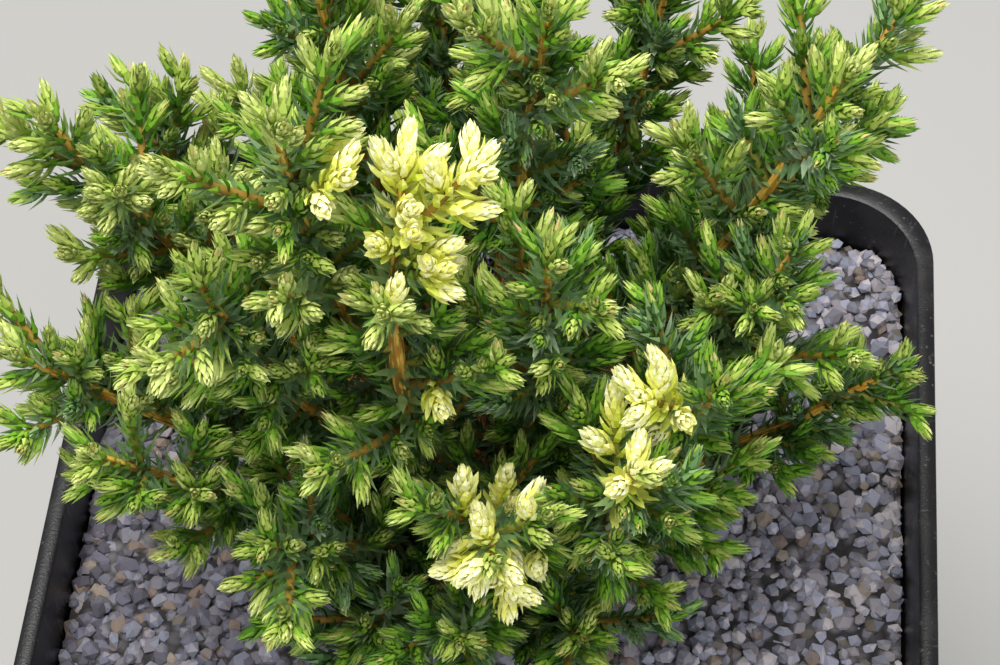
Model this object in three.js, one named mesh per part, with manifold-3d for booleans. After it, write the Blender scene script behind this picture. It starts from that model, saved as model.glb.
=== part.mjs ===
// Young dwarf conifer with awl-shaped needles, grown in a square black plastic pot.
// Millimetres, +Z up. The origin is the centre of the flat underside of the pot, and -Y is the front.

import * as THREE from 'three';
import { mergeVertices } from 'three/addons/utils/BufferGeometryUtils.js';
import Module from 'manifold-3d';

const wasm = await Module();
wasm.setup();

// Clearance between solids that touch
const GAP = 0.3;
const FILL_GAP = 0.5;

// Edges shorter than this close up where solids are joined or cut
const JOIN_TOLERANCE = 0.02;

// A fused mass with two points closer than this is fused again with its sprays turned a little
const CLOSEST_POINTS = 0.004;
const MOST_TRIES = 8;
const TRY_TURN = 9;

// Pot: a tapering square body, a wider collar and a flat lip
const POT_HEIGHT = 125;
const LIP_WIDTH = 130;
const LIP_THICKNESS = 2.2;
const COLLAR_TOP_WIDTH = 127;
const COLLAR_FOOT_WIDTH = 125.5;
const COLLAR_FOOT_Z = 109.2;
const BODY_TOP_WIDTH = 121;
const BODY_TOP_Z = 108;
const BASE_WIDTH = 98;
const BASE_THICKNESS = 1.6;
const WALL = 1.3;
const CORNER_SHARE = 0.11;
const CORNER_STEPS = 4;
const CORNER_DRAIN = { radius: 6, offset: 31 };
const SIDE_DRAIN = { radius: 4, offset: 30 };
const DRAIN_SIDES = 10;

// Fill: compost with a dressing of grit. The grit lies in lumps, on a square net with hollows at its
// knots and a lump in each mesh, and is flat where the trunk stands on it.
const COMPOST_TOP_Z = 106;
const GRIT_Z = 115;
const GRIT_EDGE_Z = 113.2;
const GRIT_HOLLOW_Z = 113.9;
const GRIT_LUMPS = 10;
const GRIT_NET_WIDTH = 124;
const GRIT_LUMP_HEIGHT = { least: 1.1, most: 2.1 };
const GRIT_SEAT_RADIUS = 9;
const GRIT_SEAT_SIDES = 12;

// Trunk: height above the grit, radius, and how far each root buttress stands out
const TRUNK_RINGS = [
  { rise: 0, radius: 6.4, buttress: 1.5 },
  { rise: 2, radius: 5.2, buttress: 0.8 },
  { rise: 5, radius: 4.5, buttress: 0.3 },
  { rise: 14, radius: 4.1, buttress: 0 },
  { rise: 26, radius: 3.5, buttress: 0 },
  { rise: 40, radius: 2.7, buttress: 0 },
  { rise: 54, radius: 2.0, buttress: 0 },
  { rise: 68, radius: 1.45, buttress: 0 },
];
const TRUNK_SIDES = 10;
const BUTTRESSES = 4;
const TRUNK_LEAN = { x: 0.05, y: -0.03 };
const TRUNK_SWAY = 0.9;
const LEADER_TIP = { bearing: 350, reach: 7, height: 112 };
const LEADER_SEED = 50;

// Limbs: bearing from +X in degrees, reach of the tip from the axis, height of the tip above the lip,
// height of the foot above the grit, and where the bend lies as shares of the reach and of the rise.
// A slender limb's side shoots grow to only a share of their full length.
const LIMBS = [
  { name: 'right_low', bearing: 5, reach: 56, height: 39, foot: 6, bend: [0.55, 0.35], shoots: 0.55 },
  { name: 'right_mid', bearing: 354, reach: 38, height: 77, foot: 14.5, bend: [0.72, 0.4] },
  { name: 'right_high', bearing: 10, reach: 42, height: 95, foot: 25, bend: [0.62, 0.4] },
  { name: 'right_back', bearing: 25, reach: 54, height: 90, foot: 20.5, bend: [0.6, 0.4] },
  { name: 'back_right_low', bearing: 46, reach: 55, height: 50, foot: 8, bend: [0.55, 0.38] },
  { name: 'back_right', bearing: 62, reach: 44, height: 80, foot: 13, bend: [0.62, 0.42] },
  { name: 'back_top', bearing: 92, reach: 21, height: 104, foot: 30, bend: [0.9, 0.45] },
  { name: 'back', bearing: 106, reach: 44, height: 84, foot: 17, bend: [0.62, 0.42] },
  { name: 'back_low', bearing: 130, reach: 53, height: 47, foot: 8, bend: [0.55, 0.38] },
  { name: 'back_left', bearing: 142, reach: 30, height: 97, foot: 26, bend: [0.75, 0.42] },
  { name: 'left_back', bearing: 167, reach: 48, height: 76, foot: 16, bend: [0.6, 0.4] },
  { name: 'left_high', bearing: 188, reach: 52, height: 95, foot: 22, bend: [0.62, 0.42] },
  { name: 'left_wide', bearing: 203, reach: 61, height: 70, foot: 10.5, bend: [0.56, 0.42] },
  { name: 'left_low', bearing: 214, reach: 56, height: 60, foot: 6, bend: [0.55, 0.42], shoots: 0.8 },
  { name: 'left_front', bearing: 222, reach: 41, height: 94, foot: 16.5, bend: [0.72, 0.42] },
  { name: 'left_top', bearing: 229, reach: 31, height: 117, foot: 29, bend: [0.85, 0.4] },
  { name: 'front_left_low', bearing: 238, reach: 46, height: 55, foot: 13, bend: [0.6, 0.4] },
  { name: 'low_front_left', bearing: 248, reach: 38, height: 26, foot: 5, bend: [0.5, 0.3] },
  { name: 'low_front', bearing: 270, reach: 44, height: 42, foot: 9, bend: [0.55, 0.4] },
  { name: 'front_top', bearing: 253, reach: 23, height: 111, foot: 24.5, bend: [1.7, 0.5] },
  { name: 'front_fall', bearing: 275, reach: 48, height: 68, foot: 16.5, bend: [0.62, 0.85] },
  { name: 'front_mid', bearing: 290, reach: 25, height: 98, foot: 27.5, bend: [1.0, 0.42] },
  { name: 'front_right', bearing: 297, reach: 44, height: 79, foot: 11.5, bend: [0.72, 0.45] },
  { name: 'low_front_right', bearing: 291, reach: 42, height: 37, foot: 5.5, bend: [0.55, 0.35] },
  { name: 'right_front', bearing: 315, reach: 41, height: 82, foot: 17.5, bend: [0.7, 0.42] },
  { name: 'right_front_low', bearing: 321, reach: 39, height: 52, foot: 8, bend: [0.6, 0.4], shoots: 0.8 },
];
const BOUGH_SHARE = 0.32;
const BOUGH_FOOT_RADIUS = 1.6;
const BOUGH_TIP_RADIUS = 1.05;
const BOUGH_SIDES = 6;
const BOUGH_STEPS = 4;

// Foliage: shoots set round each limb's leafy stem at the golden angle, leaning forward and turned up
const GOLDEN_ANGLE = 137.508;
const ANGLE_VARIATION = 30;
const SHOOT_PITCH = 5.9;
const SHOOT_LENGTH = { foot: 24, tip: 12 };
const SHOOT_VARIATION = 0.18;
const SHOOT_LEAN = 46;
const SHOOT_LEAN_VARIATION = 9;
const SHOOT_UPTURN = 0.16;
const SHOOT_SHORTER = [1, 0.82, 0.66, 0.52, 0.4];
const SHORTEST_SHOOT = 7;
const FIRST_SHOOT = 0.06;
const LAST_SHOOT = 0.86;

// Needles: each tooth stands for one whorl's needle
const TOOTH_PITCH = 6.4;
const TOOTH_REACH = 3.1;
const TOOTH_LEAN = 2.2;
const TOOTH_TWIST = 26;
const STEM_RADIUS = { foot: 1.35, tip: 0.75 };
const SHOOT_RADIUS = { foot: 1.15, tip: 0.65 };
const SHOOT_TIP = 2.4;
const SPRAY_RADIUS = 3.1;

// Which of its seed's chances each size of a mass takes
const DRAW = { firstAngle: 0, stemTwist: 7, angle: 40, lean: 80, length: 120, shootTwist: 200 };

// How finely the free room is tested, and how far sprays keep from the pot
const PROBE_PITCH = 2.5;
const ROOM_STEPS = 8;
const LIP_MARGIN = 8;
const POT_CLEARANCE = 1;

const UP = new THREE.Vector3(0, 0, 1);
const SIDEWAYS = new THREE.Vector3(1, 0, 0);
const NEARLY_UPRIGHT = 0.95;
const turn = (degrees) => THREE.MathUtils.degToRad(degrees);

// The same small random share, from 0 to 1, for the same seed and number
function chance(seed, number) {
  const value = Math.sin(seed * 12.9898 + number * 78.233) * 43758.5453;
  return value - Math.floor(value);
}

// Materials
const plastic = new THREE.MeshStandardMaterial({ color: 0x1b1a1f, roughness: 0.42, metalness: 0 });
const soil = new THREE.MeshStandardMaterial({ color: 0x2c2018, roughness: 0.95, metalness: 0 });
const stone = new THREE.MeshStandardMaterial({ color: 0x8d8b90, roughness: 0.85, metalness: 0 });
const bark = new THREE.MeshStandardMaterial({ color: 0x8a6224, roughness: 0.8, metalness: 0 });
const foliage = new THREE.MeshStandardMaterial({ color: 0x5f7d33, roughness: 0.6, metalness: 0 });

const plant = new THREE.Group();

function addPart(name, geometry, material) {
  const mesh = new THREE.Mesh(geometry, material);
  mesh.name = name;
  plant.add(mesh);
}

// Closed meshes, and joining and cutting them
function closedGeometry(points, faces) {
  const geometry = new THREE.BufferGeometry();
  const numbers = points.flatMap((point) => [point.x, point.y, point.z]);
  geometry.setAttribute('position', new THREE.Float32BufferAttribute(numbers, 3));
  geometry.setIndex(faces.flat());
  return geometry;
}

function toSolid(geometry) {
  const bare = geometry.clone();
  bare.deleteAttribute('normal');
  bare.deleteAttribute('uv');
  const merged = mergeVertices(bare);
  return new wasm.Manifold(new wasm.Mesh({
    numProp: 3,
    vertProperties: new Float32Array(merged.attributes.position.array),
    triVerts: new Uint32Array(merged.index.array),
    tolerance: JOIN_TOLERANCE,
  }));
}

// The largest piece of a solid: loose scraps are dropped and sealed hollows are filled
function toGeometry(solid) {
  const pieces = solid.decompose().sort((a, b) => b.volume() - a.volume());
  const mesh = pieces[0].getMesh();
  const geometry = new THREE.BufferGeometry();
  geometry.setAttribute('position', new THREE.Float32BufferAttribute(mesh.vertProperties, 3));
  geometry.setIndex(new THREE.Uint32BufferAttribute(mesh.triVerts, 1));
  return geometry;
}

// A skin over rings of equally many points, closed by a fan at each end
function loft(rings) {
  const count = rings[0].length;
  const points = rings.flat();
  const faces = [];
  for (let r = 0; r + 1 < rings.length; r += 1) {
    for (let i = 0; i < count; i += 1) {
      const a = r * count + i;
      const b = r * count + ((i + 1) % count);
      faces.push([a, b, b + count], [a, b + count, a + count]);
    }
  }
  const last = (rings.length - 1) * count;
  for (let i = 1; i + 1 < count; i += 1) {
    faces.push([0, i + 1, i], [last, last + i, last + i + 1]);
  }
  return closedGeometry(points, faces);
}

// Pot
function roundedSquare(width, z) {
  const radius = width * CORNER_SHARE;
  const centre = width / 2 - radius;
  const ring = [];
  for (let corner = 0; corner < 4; corner += 1) {
    const middle = turn(45 + 90 * corner);
    for (let step = 0; step <= CORNER_STEPS; step += 1) {
      const angle = turn(90 * corner + (90 * step) / CORNER_STEPS);
      ring.push(new THREE.Vector3(
        Math.sign(Math.cos(middle)) * centre + radius * Math.cos(angle),
        Math.sign(Math.sin(middle)) * centre + radius * Math.sin(angle),
        z,
      ));
    }
  }
  return ring;
}

function outsideWidth(z) {
  const { mapLinear } = THREE.MathUtils;
  if (z <= BODY_TOP_Z) return mapLinear(z, 0, BODY_TOP_Z, BASE_WIDTH, BODY_TOP_WIDTH);
  if (z <= COLLAR_FOOT_Z) return mapLinear(z, BODY_TOP_Z, COLLAR_FOOT_Z, BODY_TOP_WIDTH, COLLAR_FOOT_WIDTH);
  return mapLinear(z, COLLAR_FOOT_Z, POT_HEIGHT, COLLAR_FOOT_WIDTH, COLLAR_TOP_WIDTH);
}

function insideWidth(z) {
  return outsideWidth(z) - 2 * WALL;
}

function drainHole(x, y, radius) {
  const hole = new THREE.CylinderGeometry(radius, radius, 4 * BASE_THICKNESS, DRAIN_SIDES);
  hole.rotateX(turn(90));
  hole.translate(x, y, 0);
  return toSolid(hole);
}

function makePot() {
  const lipUnderside = POT_HEIGHT - LIP_THICKNESS;
  const outside = loft([
    roundedSquare(BASE_WIDTH, 0),
    roundedSquare(BODY_TOP_WIDTH, BODY_TOP_Z),
    roundedSquare(COLLAR_FOOT_WIDTH, COLLAR_FOOT_Z),
    roundedSquare(COLLAR_TOP_WIDTH, lipUnderside),
    roundedSquare(LIP_WIDTH, lipUnderside),
    roundedSquare(LIP_WIDTH, POT_HEIGHT),
  ]);
  const insideLevels = [BASE_THICKNESS, BODY_TOP_Z, COLLAR_FOOT_Z, POT_HEIGHT + WALL];
  const inside = loft(insideLevels.map((z) => roundedSquare(insideWidth(z), z)));
  let pot = toSolid(outside).subtract(toSolid(inside));
  for (let side = 0; side < 4; side += 1) {
    const corner = turn(45 + 90 * side);
    const straight = turn(90 * side);
    const out = CORNER_DRAIN.offset * Math.SQRT2;
    pot = pot.subtract(drainHole(out * Math.cos(corner), out * Math.sin(corner), CORNER_DRAIN.radius));
    pot = pot.subtract(drainHole(
      SIDE_DRAIN.offset * Math.cos(straight),
      SIDE_DRAIN.offset * Math.sin(straight),
      SIDE_DRAIN.radius,
    ));
  }
  addPart('pot', toGeometry(pot), plastic);
}

function fillRing(z) {
  return roundedSquare(insideWidth(z) - 2 * FILL_GAP, z);
}

function makeCompost() {
  addPart('compost', loft([BASE_THICKNESS + GAP, COMPOST_TOP_Z].map(fillRing)), soil);
}

// A block under a net of hollows, with a four-sided lump in each mesh of the net
function lumpyBlock() {
  const net = GRIT_LUMPS + 1;
  const mesh = GRIT_NET_WIDTH / GRIT_LUMPS;
  const place = (steps) => steps * mesh - GRIT_NET_WIDTH / 2;
  const isRim = (steps) => steps === 0 || steps === GRIT_LUMPS;
  const points = [];
  const faces = [];
  for (let row = 0; row < net; row += 1) {
    for (let column = 0; column < net; column += 1) {
      const z = isRim(row) || isRim(column) ? GRIT_EDGE_Z : GRIT_HOLLOW_Z;
      points.push(new THREE.Vector3(place(column), place(row), z));
    }
  }
  for (let row = 0; row < GRIT_LUMPS; row += 1) {
    for (let column = 0; column < GRIT_LUMPS; column += 1) {
      const first = row * net + column;
      const knots = [first, first + 1, first + net + 1, first + net];
      const foot = knots.reduce((sum, knot) => sum + points[knot].z, 0) / knots.length;
      const { least, most } = GRIT_LUMP_HEIGHT;
      const height = THREE.MathUtils.lerp(least, most, chance(row + 1, column));
      const middle = new THREE.Vector3(place(column + 0.5), place(row + 0.5), foot + height);
      const top = points.push(middle) - 1;
      knots.forEach((knot, i) => faces.push([knot, knots[(i + 1) % knots.length], top]));
    }
  }
  // The rim's knots in turn, and the same ones straight below them, close the block
  const rim = [];
  for (let i = 0; i < GRIT_LUMPS; i += 1) rim.push(i);
  for (let i = 0; i < GRIT_LUMPS; i += 1) rim.push(i * net + GRIT_LUMPS);
  for (let i = GRIT_LUMPS; i > 0; i -= 1) rim.push(GRIT_LUMPS * net + i);
  for (let i = GRIT_LUMPS; i > 0; i -= 1) rim.push(i * net);
  const below = points.length;
  rim.forEach((knot) => points.push(points[knot].clone().setZ(0)));
  rim.forEach((knot, i) => {
    const next = (i + 1) % rim.length;
    faces.push([knot, below + i, below + next], [knot, below + next, rim[next]]);
    if (i > 0 && next > 0) faces.push([below, below + next, below + i]);
  });
  return toSolid(closedGeometry(points, faces));
}

function seat(from, to) {
  const disc = new THREE.CylinderGeometry(GRIT_SEAT_RADIUS, GRIT_SEAT_RADIUS, to - from, GRIT_SEAT_SIDES);
  disc.rotateX(turn(90));
  disc.translate(0, 0, (from + to) / 2);
  return toSolid(disc);
}

function makeGrit() {
  const levels = [COMPOST_TOP_Z + GAP, BODY_TOP_Z, COLLAR_FOOT_Z, POT_HEIGHT];
  const grit = toSolid(loft(levels.map(fillRing)))
    .intersect(lumpyBlock())
    .subtract(seat(GRIT_Z, POT_HEIGHT))
    .add(seat(COLLAR_FOOT_Z, GRIT_Z));
  addPart('grit', toGeometry(grit), stone);
}

// Trunk
function trunkCentre(z) {
  const rise = z - GRIT_Z;
  const top = TRUNK_RINGS[TRUNK_RINGS.length - 1].rise;
  const sway = TRUNK_SWAY * Math.sin((rise / top) * Math.PI * 2);
  return new THREE.Vector3(TRUNK_LEAN.x * rise + sway, TRUNK_LEAN.y * rise - sway / 2, z);
}

function trunkGeometry(extra) {
  const rings = TRUNK_RINGS.map(({ rise, radius, buttress }) => {
    const centre = trunkCentre(GRIT_Z + GAP + rise);
    const ring = [];
    for (let side = 0; side < TRUNK_SIDES; side += 1) {
      const angle = (side / TRUNK_SIDES) * Math.PI * 2;
      const out = radius + extra + buttress * Math.cos(BUTTRESSES * angle);
      ring.push(new THREE.Vector3(out * Math.cos(angle), out * Math.sin(angle), 0).add(centre));
    }
    return ring;
  });
  return loft(rings);
}

// A smooth line from a foot to a tip, bent at a middle point
class LimbLine {
  constructor(foot, bend, tip) {
    this.curve = new THREE.QuadraticBezierCurve3(foot, bend, tip);
    this.length = this.curve.getLength();
  }

  at(share) {
    return this.curve.getPointAt(share);
  }

  along(share) {
    return this.curve.getTangentAt(share);
  }
}

function tipOf({ bearing, reach, height }) {
  const angle = turn(bearing);
  return new THREE.Vector3(reach * Math.cos(angle), reach * Math.sin(angle), POT_HEIGHT + height);
}

function limbLine(limb) {
  const foot = trunkCentre(GRIT_Z + limb.foot);
  const tip = tipOf(limb);
  const [outShare, riseShare] = limb.bend;
  const bend = new THREE.Vector3(
    foot.x + (tip.x - foot.x) * outShare,
    foot.y + (tip.y - foot.y) * outShare,
    foot.z + (tip.z - foot.z) * riseShare,
  );
  return new LimbLine(foot, bend, tip);
}

// The leader's foliage begins just above the trunk's flat top
function leaderLine() {
  const foot = trunkCentre(GRIT_Z + 2 * GAP + TRUNK_RINGS[TRUNK_RINGS.length - 1].rise);
  const tip = tipOf(LEADER_TIP);
  const bend = new THREE.Vector3(foot.x, foot.y, (foot.z + tip.z) / 2);
  return new LimbLine(foot, bend, tip);
}

// Two directions square to a line, the second one square to the first
function sideAxes(along) {
  const helper = Math.abs(along.z) > NEARLY_UPRIGHT ? SIDEWAYS : UP;
  const across = new THREE.Vector3().crossVectors(along, helper).normalize();
  return [across, new THREE.Vector3().crossVectors(along, across)];
}

function ringAround(centre, along, radius, sides, twist) {
  const [across, other] = sideAxes(along);
  const ring = [];
  for (let side = 0; side < sides; side += 1) {
    const angle = turn(twist) + (side / sides) * Math.PI * 2;
    ring.push(centre.clone()
      .addScaledVector(across, radius * Math.cos(angle))
      .addScaledVector(other, radius * Math.sin(angle)));
  }
  return ring;
}

// A bough runs from inside the trunk, where the trunk cuts it, to the point where its foliage begins
function boughSolid(line, share) {
  const rings = [];
  for (let step = 0; step <= BOUGH_STEPS; step += 1) {
    const part = step / BOUGH_STEPS;
    const radius = THREE.MathUtils.lerp(BOUGH_FOOT_RADIUS, BOUGH_TIP_RADIUS, part);
    rings.push(ringAround(line.at(part * share), line.along(part * share), radius, BOUGH_SIDES, 0));
  }
  return toSolid(loft(rings));
}

// A three-sided stem whose sides rise into forward-leaning teeth, closed by a point
function toothedStem(pointAt, alongAt, length, radius, firstTwist) {
  const steps = Math.max(2, Math.round(length / TOOTH_PITCH));
  const points = [];
  const faces = [];
  for (let step = 0; step <= steps; step += 1) {
    const part = step / steps;
    const size = THREE.MathUtils.lerp(radius.foot, radius.tip, part);
    points.push(...ringAround(pointAt(part), alongAt(part), size, 3, firstTwist + TOOTH_TWIST * step));
  }
  for (let step = 0; step < steps; step += 1) {
    const part = (step + 0.5) / steps;
    const along = alongAt(part);
    const centre = pointAt(part);
    for (let side = 0; side < 3; side += 1) {
      const a = 3 * step + side;
      const b = 3 * step + ((side + 1) % 3);
      const corners = [a, b, b + 3, a + 3];
      const middle = new THREE.Vector3();
      corners.forEach((corner) => middle.addScaledVector(points[corner], 1 / 4));
      const out = middle.clone().sub(centre).normalize();
      const tooth = centre.clone().addScaledVector(out, TOOTH_REACH).addScaledVector(along, TOOTH_LEAN);
      const apex = points.push(tooth) - 1;
      // The teeth are listed after all rings, so ring corners keep their numbers
      corners.forEach((corner, i) => faces.push([corner, corners[(i + 1) % 4], apex]));
    }
  }
  const end = 3 * steps;
  const tip = points.push(pointAt(1).clone().addScaledVector(alongAt(1), SHOOT_TIP)) - 1;
  faces.push([0, 2, 1], [end, end + 1, tip], [end + 1, end + 2, tip], [end + 2, end, tip]);
  return toSolid(closedGeometry(points, faces));
}

// The room that limbs and sprays take up, as straight stretches with a radius and an owner
class Room {
  constructor() {
    this.stretches = [];
  }

  take(points, radius, owner) {
    for (let i = 0; i + 1 < points.length; i += 1) {
      this.stretches.push({ line: new THREE.Line3(points[i], points[i + 1]), radius, owner });
    }
  }

  isFree(point, radius, owner) {
    const nearest = new THREE.Vector3();
    return this.stretches.every((stretch) => {
      if (stretch.owner === owner) return true;
      stretch.line.closestPointToPoint(point, true, nearest);
      return nearest.distanceTo(point) > radius + stretch.radius + GAP;
    });
  }
}

function isAbovePot(point) {
  const overLip = Math.max(Math.abs(point.x), Math.abs(point.y)) > LIP_WIDTH / 2 - LIP_MARGIN;
  return point.z > (overLip ? POT_HEIGHT : GRIT_Z) + SPRAY_RADIUS + POT_CLEARANCE;
}

// A side shoot leans forward from its stem and turns up towards the light
function shootPoint({ root, direction, length }, part) {
  return root.clone()
    .addScaledVector(direction, length * part)
    .addScaledVector(UP, SHOOT_UPTURN * length * part * part);
}

function shootAlong({ direction }, part) {
  return direction.clone().addScaledVector(UP, 2 * SHOOT_UPTURN * part).normalize();
}

// The seeded rule: where side shoot number i of a mass grows from, which way and how far
function fullShoot({ line, start, seed, count, shootShare }, i) {
  const part = LAST_SHOOT - ((LAST_SHOOT - FIRST_SHOOT) * (i + 0.5)) / count;
  const share = start + (1 - start) * part;
  const along = line.along(share);
  const [across, other] = sideAxes(along);
  const firstAngle = 360 * chance(seed, DRAW.firstAngle);
  const angle = turn(GOLDEN_ANGLE * i + firstAngle + ANGLE_VARIATION * (chance(seed, i + DRAW.angle) - 0.5));
  const side = across.clone().multiplyScalar(Math.cos(angle)).addScaledVector(other, Math.sin(angle));
  const lean = turn(SHOOT_LEAN + SHOOT_LEAN_VARIATION * (2 * chance(seed, i + DRAW.lean) - 1));
  const length = shootShare * THREE.MathUtils.lerp(SHOOT_LENGTH.foot, SHOOT_LENGTH.tip, part);
  return {
    root: line.at(share),
    direction: along.clone().multiplyScalar(Math.cos(lean)).addScaledVector(side, Math.sin(lean)),
    length: length * (1 + SHOOT_VARIATION * (2 * chance(seed, i + DRAW.length) - 1)),
  };
}

// A shoot that would leave the free room is tried shorter, and is skipped where even that doesn't fit
function fitShoot(mass, i, room) {
  const full = fullShoot(mass, i);
  for (const shorter of SHOOT_SHORTER) {
    const shoot = { ...full, length: full.length * shorter };
    if (shoot.length < SHORTEST_SHOOT) return null;
    const steps = Math.ceil((shoot.length + SHOOT_TIP) / PROBE_PITCH);
    const reach = 1 + SHOOT_TIP / shoot.length;
    const points = [];
    for (let step = 1; step <= steps; step += 1) {
      points.push(shootPoint(shoot, (reach * step) / steps));
    }
    const fits = points.every((point) => isAbovePot(point) && room.isFree(point, SPRAY_RADIUS, mass.name));
    if (fits) {
      room.take([full.root, ...points], SPRAY_RADIUS, mass.name);
      return shoot;
    }
  }
  return null;
}

// Every mass tries its shoots in turn, outermost first, so that the room is shared out evenly
function growShoots(masses, room) {
  const most = Math.max(...masses.map((mass) => mass.count));
  for (let i = 0; i < most; i += 1) {
    for (const mass of masses) {
      const shoot = i < mass.count ? fitShoot(mass, i, room) : null;
      if (shoot) mass.shoots.push(shoot);
    }
  }
}

// A mass of foliage: a leafy stem that goes on from the bough's end, with its side shoots fused on
function massSolid({ line, start, seed, shoots }, twist) {
  const share = (part) => start + (1 - start) * part;
  const leafy = line.length * (1 - start);
  const at = (part) => line.at(share(part));
  const along = (part) => line.along(share(part));
  const stemTwist = 360 * chance(seed, DRAW.stemTwist) + twist;
  let solid = toothedStem(at, along, leafy, STEM_RADIUS, stemTwist);
  shoots.forEach((shoot, i) => {
    const shootAt = (part) => shootPoint(shoot, part);
    const shootTowards = (part) => shootAlong(shoot, part);
    const shootTwist = 360 * chance(seed, DRAW.shootTwist + i) + twist;
    solid = solid.add(toothedStem(shootAt, shootTowards, shoot.length, SHOOT_RADIUS, shootTwist));
  });
  return solid;
}

function massGeometry(mass) {
  let geometry;
  for (let attempt = 0; attempt < MOST_TRIES; attempt += 1) {
    geometry = toGeometry(massSolid(mass, TRY_TURN * attempt));
    const merged = mergeVertices(geometry, CLOSEST_POINTS);
    if (merged.attributes.position.count === geometry.attributes.position.count) break;
  }
  return geometry;
}

function makeMass(name, line, start, seed, shootShare = 1) {
  const leafy = line.length * (1 - start);
  const count = Math.round((leafy * (LAST_SHOOT - FIRST_SHOOT)) / SHOOT_PITCH);
  return { name, line, start, seed, count, shootShare, shoots: [] };
}

function linePoints(line, from, to) {
  const points = [];
  for (let step = 0; step <= ROOM_STEPS; step += 1) {
    points.push(line.at(THREE.MathUtils.lerp(from, to, step / ROOM_STEPS)));
  }
  return points;
}

function makePlant() {
  addPart('trunk', trunkGeometry(0), bark);
  const trunkRoom = toSolid(trunkGeometry(GAP));

  const room = new Room();
  room.take(TRUNK_RINGS.map(({ rise }) => trunkCentre(GRIT_Z + rise)), TRUNK_RINGS[2].radius, 'trunk');
  const masses = LIMBS.map((limb, i) => {
    const line = limbLine(limb);
    room.take(linePoints(line, 0, BOUGH_SHARE), BOUGH_FOOT_RADIUS, limb.name);
    addPart(`bough_${limb.name}`, toGeometry(boughSolid(line, BOUGH_SHARE).subtract(trunkRoom)), bark);
    return makeMass(limb.name, line, BOUGH_SHARE + GAP / line.length, i + 1, limb.shoots);
  });
  masses.push(makeMass('leader', leaderLine(), 0, LEADER_SEED));

  masses.forEach((mass) => room.take(linePoints(mass.line, mass.start, 1), SPRAY_RADIUS, mass.name));
  growShoots(masses, room);
  masses.forEach((mass) => addPart(`foliage_${mass.name}`, massGeometry(mass), foliage));
}

makePot();
makeCompost();
makeGrit();
makePlant();

export default plant;
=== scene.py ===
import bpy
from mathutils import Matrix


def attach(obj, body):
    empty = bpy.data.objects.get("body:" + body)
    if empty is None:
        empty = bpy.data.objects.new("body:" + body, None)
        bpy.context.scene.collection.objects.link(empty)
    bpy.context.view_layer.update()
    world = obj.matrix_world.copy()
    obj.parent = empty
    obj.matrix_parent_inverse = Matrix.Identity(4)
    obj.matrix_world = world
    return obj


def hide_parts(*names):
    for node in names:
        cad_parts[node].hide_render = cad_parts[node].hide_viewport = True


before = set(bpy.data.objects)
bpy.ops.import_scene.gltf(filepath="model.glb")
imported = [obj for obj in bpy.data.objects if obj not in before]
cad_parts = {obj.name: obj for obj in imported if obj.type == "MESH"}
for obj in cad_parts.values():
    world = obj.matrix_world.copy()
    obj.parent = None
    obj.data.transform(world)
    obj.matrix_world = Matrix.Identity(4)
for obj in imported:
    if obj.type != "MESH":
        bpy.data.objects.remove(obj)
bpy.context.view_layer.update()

# A young potted conifer: bark, twigs and needles grown on from the limbs, stones, and a moulded pot.
# Shapes are worked out in millimetres and made into metres where a piece is put together.

import math
from collections import namedtuple
from itertools import combinations, product

import bpy
import numpy as np
from mathutils import Vector
from mathutils.bvhtree import BVHTree

MM = 0.001
UP = np.array([0.0, 0.0, 1.0])

# Where the camera stands, in metres: the open lanes run from there
CAMERA_PLACE = (0.0173, -0.1843, 0.4421)

# The pot, its fill and the limbs, as in the part
POT_HEIGHT = 125
LIP_WIDTH = 130
LIP_THICKNESS = 2.2
COLLAR_TOP_WIDTH = 127
COLLAR_FOOT_WIDTH = 125.5
COLLAR_FOOT_Z = 109.2
BODY_TOP_WIDTH = 121
BODY_TOP_Z = 108
BASE_WIDTH = 98
BASE_THICKNESS = 1.6
WALL = 1.3
CORNER_SHARE = 0.11
CORNER_DRAIN = (6, 31)
SIDE_DRAIN = (4, 30)
GRIT_Z = 115
GRIT_EDGE_Z = 113.2

GAP = 0.3
TRUNK_RISE = [0, 2, 5, 14, 26, 40, 54, 68]
TRUNK_RADIUS = [6.4, 5.2, 4.5, 4.1, 3.5, 2.7, 2.0, 1.45]
TRUNK_BUTTRESS = [1.5, 0.8, 0.3, 0, 0, 0, 0, 0]
TRUNK_ROOM = 4.5
BUTTRESSES = 4
TRUNK_LEAN = (0.05, -0.03)
TRUNK_SWAY = 0.9

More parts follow.
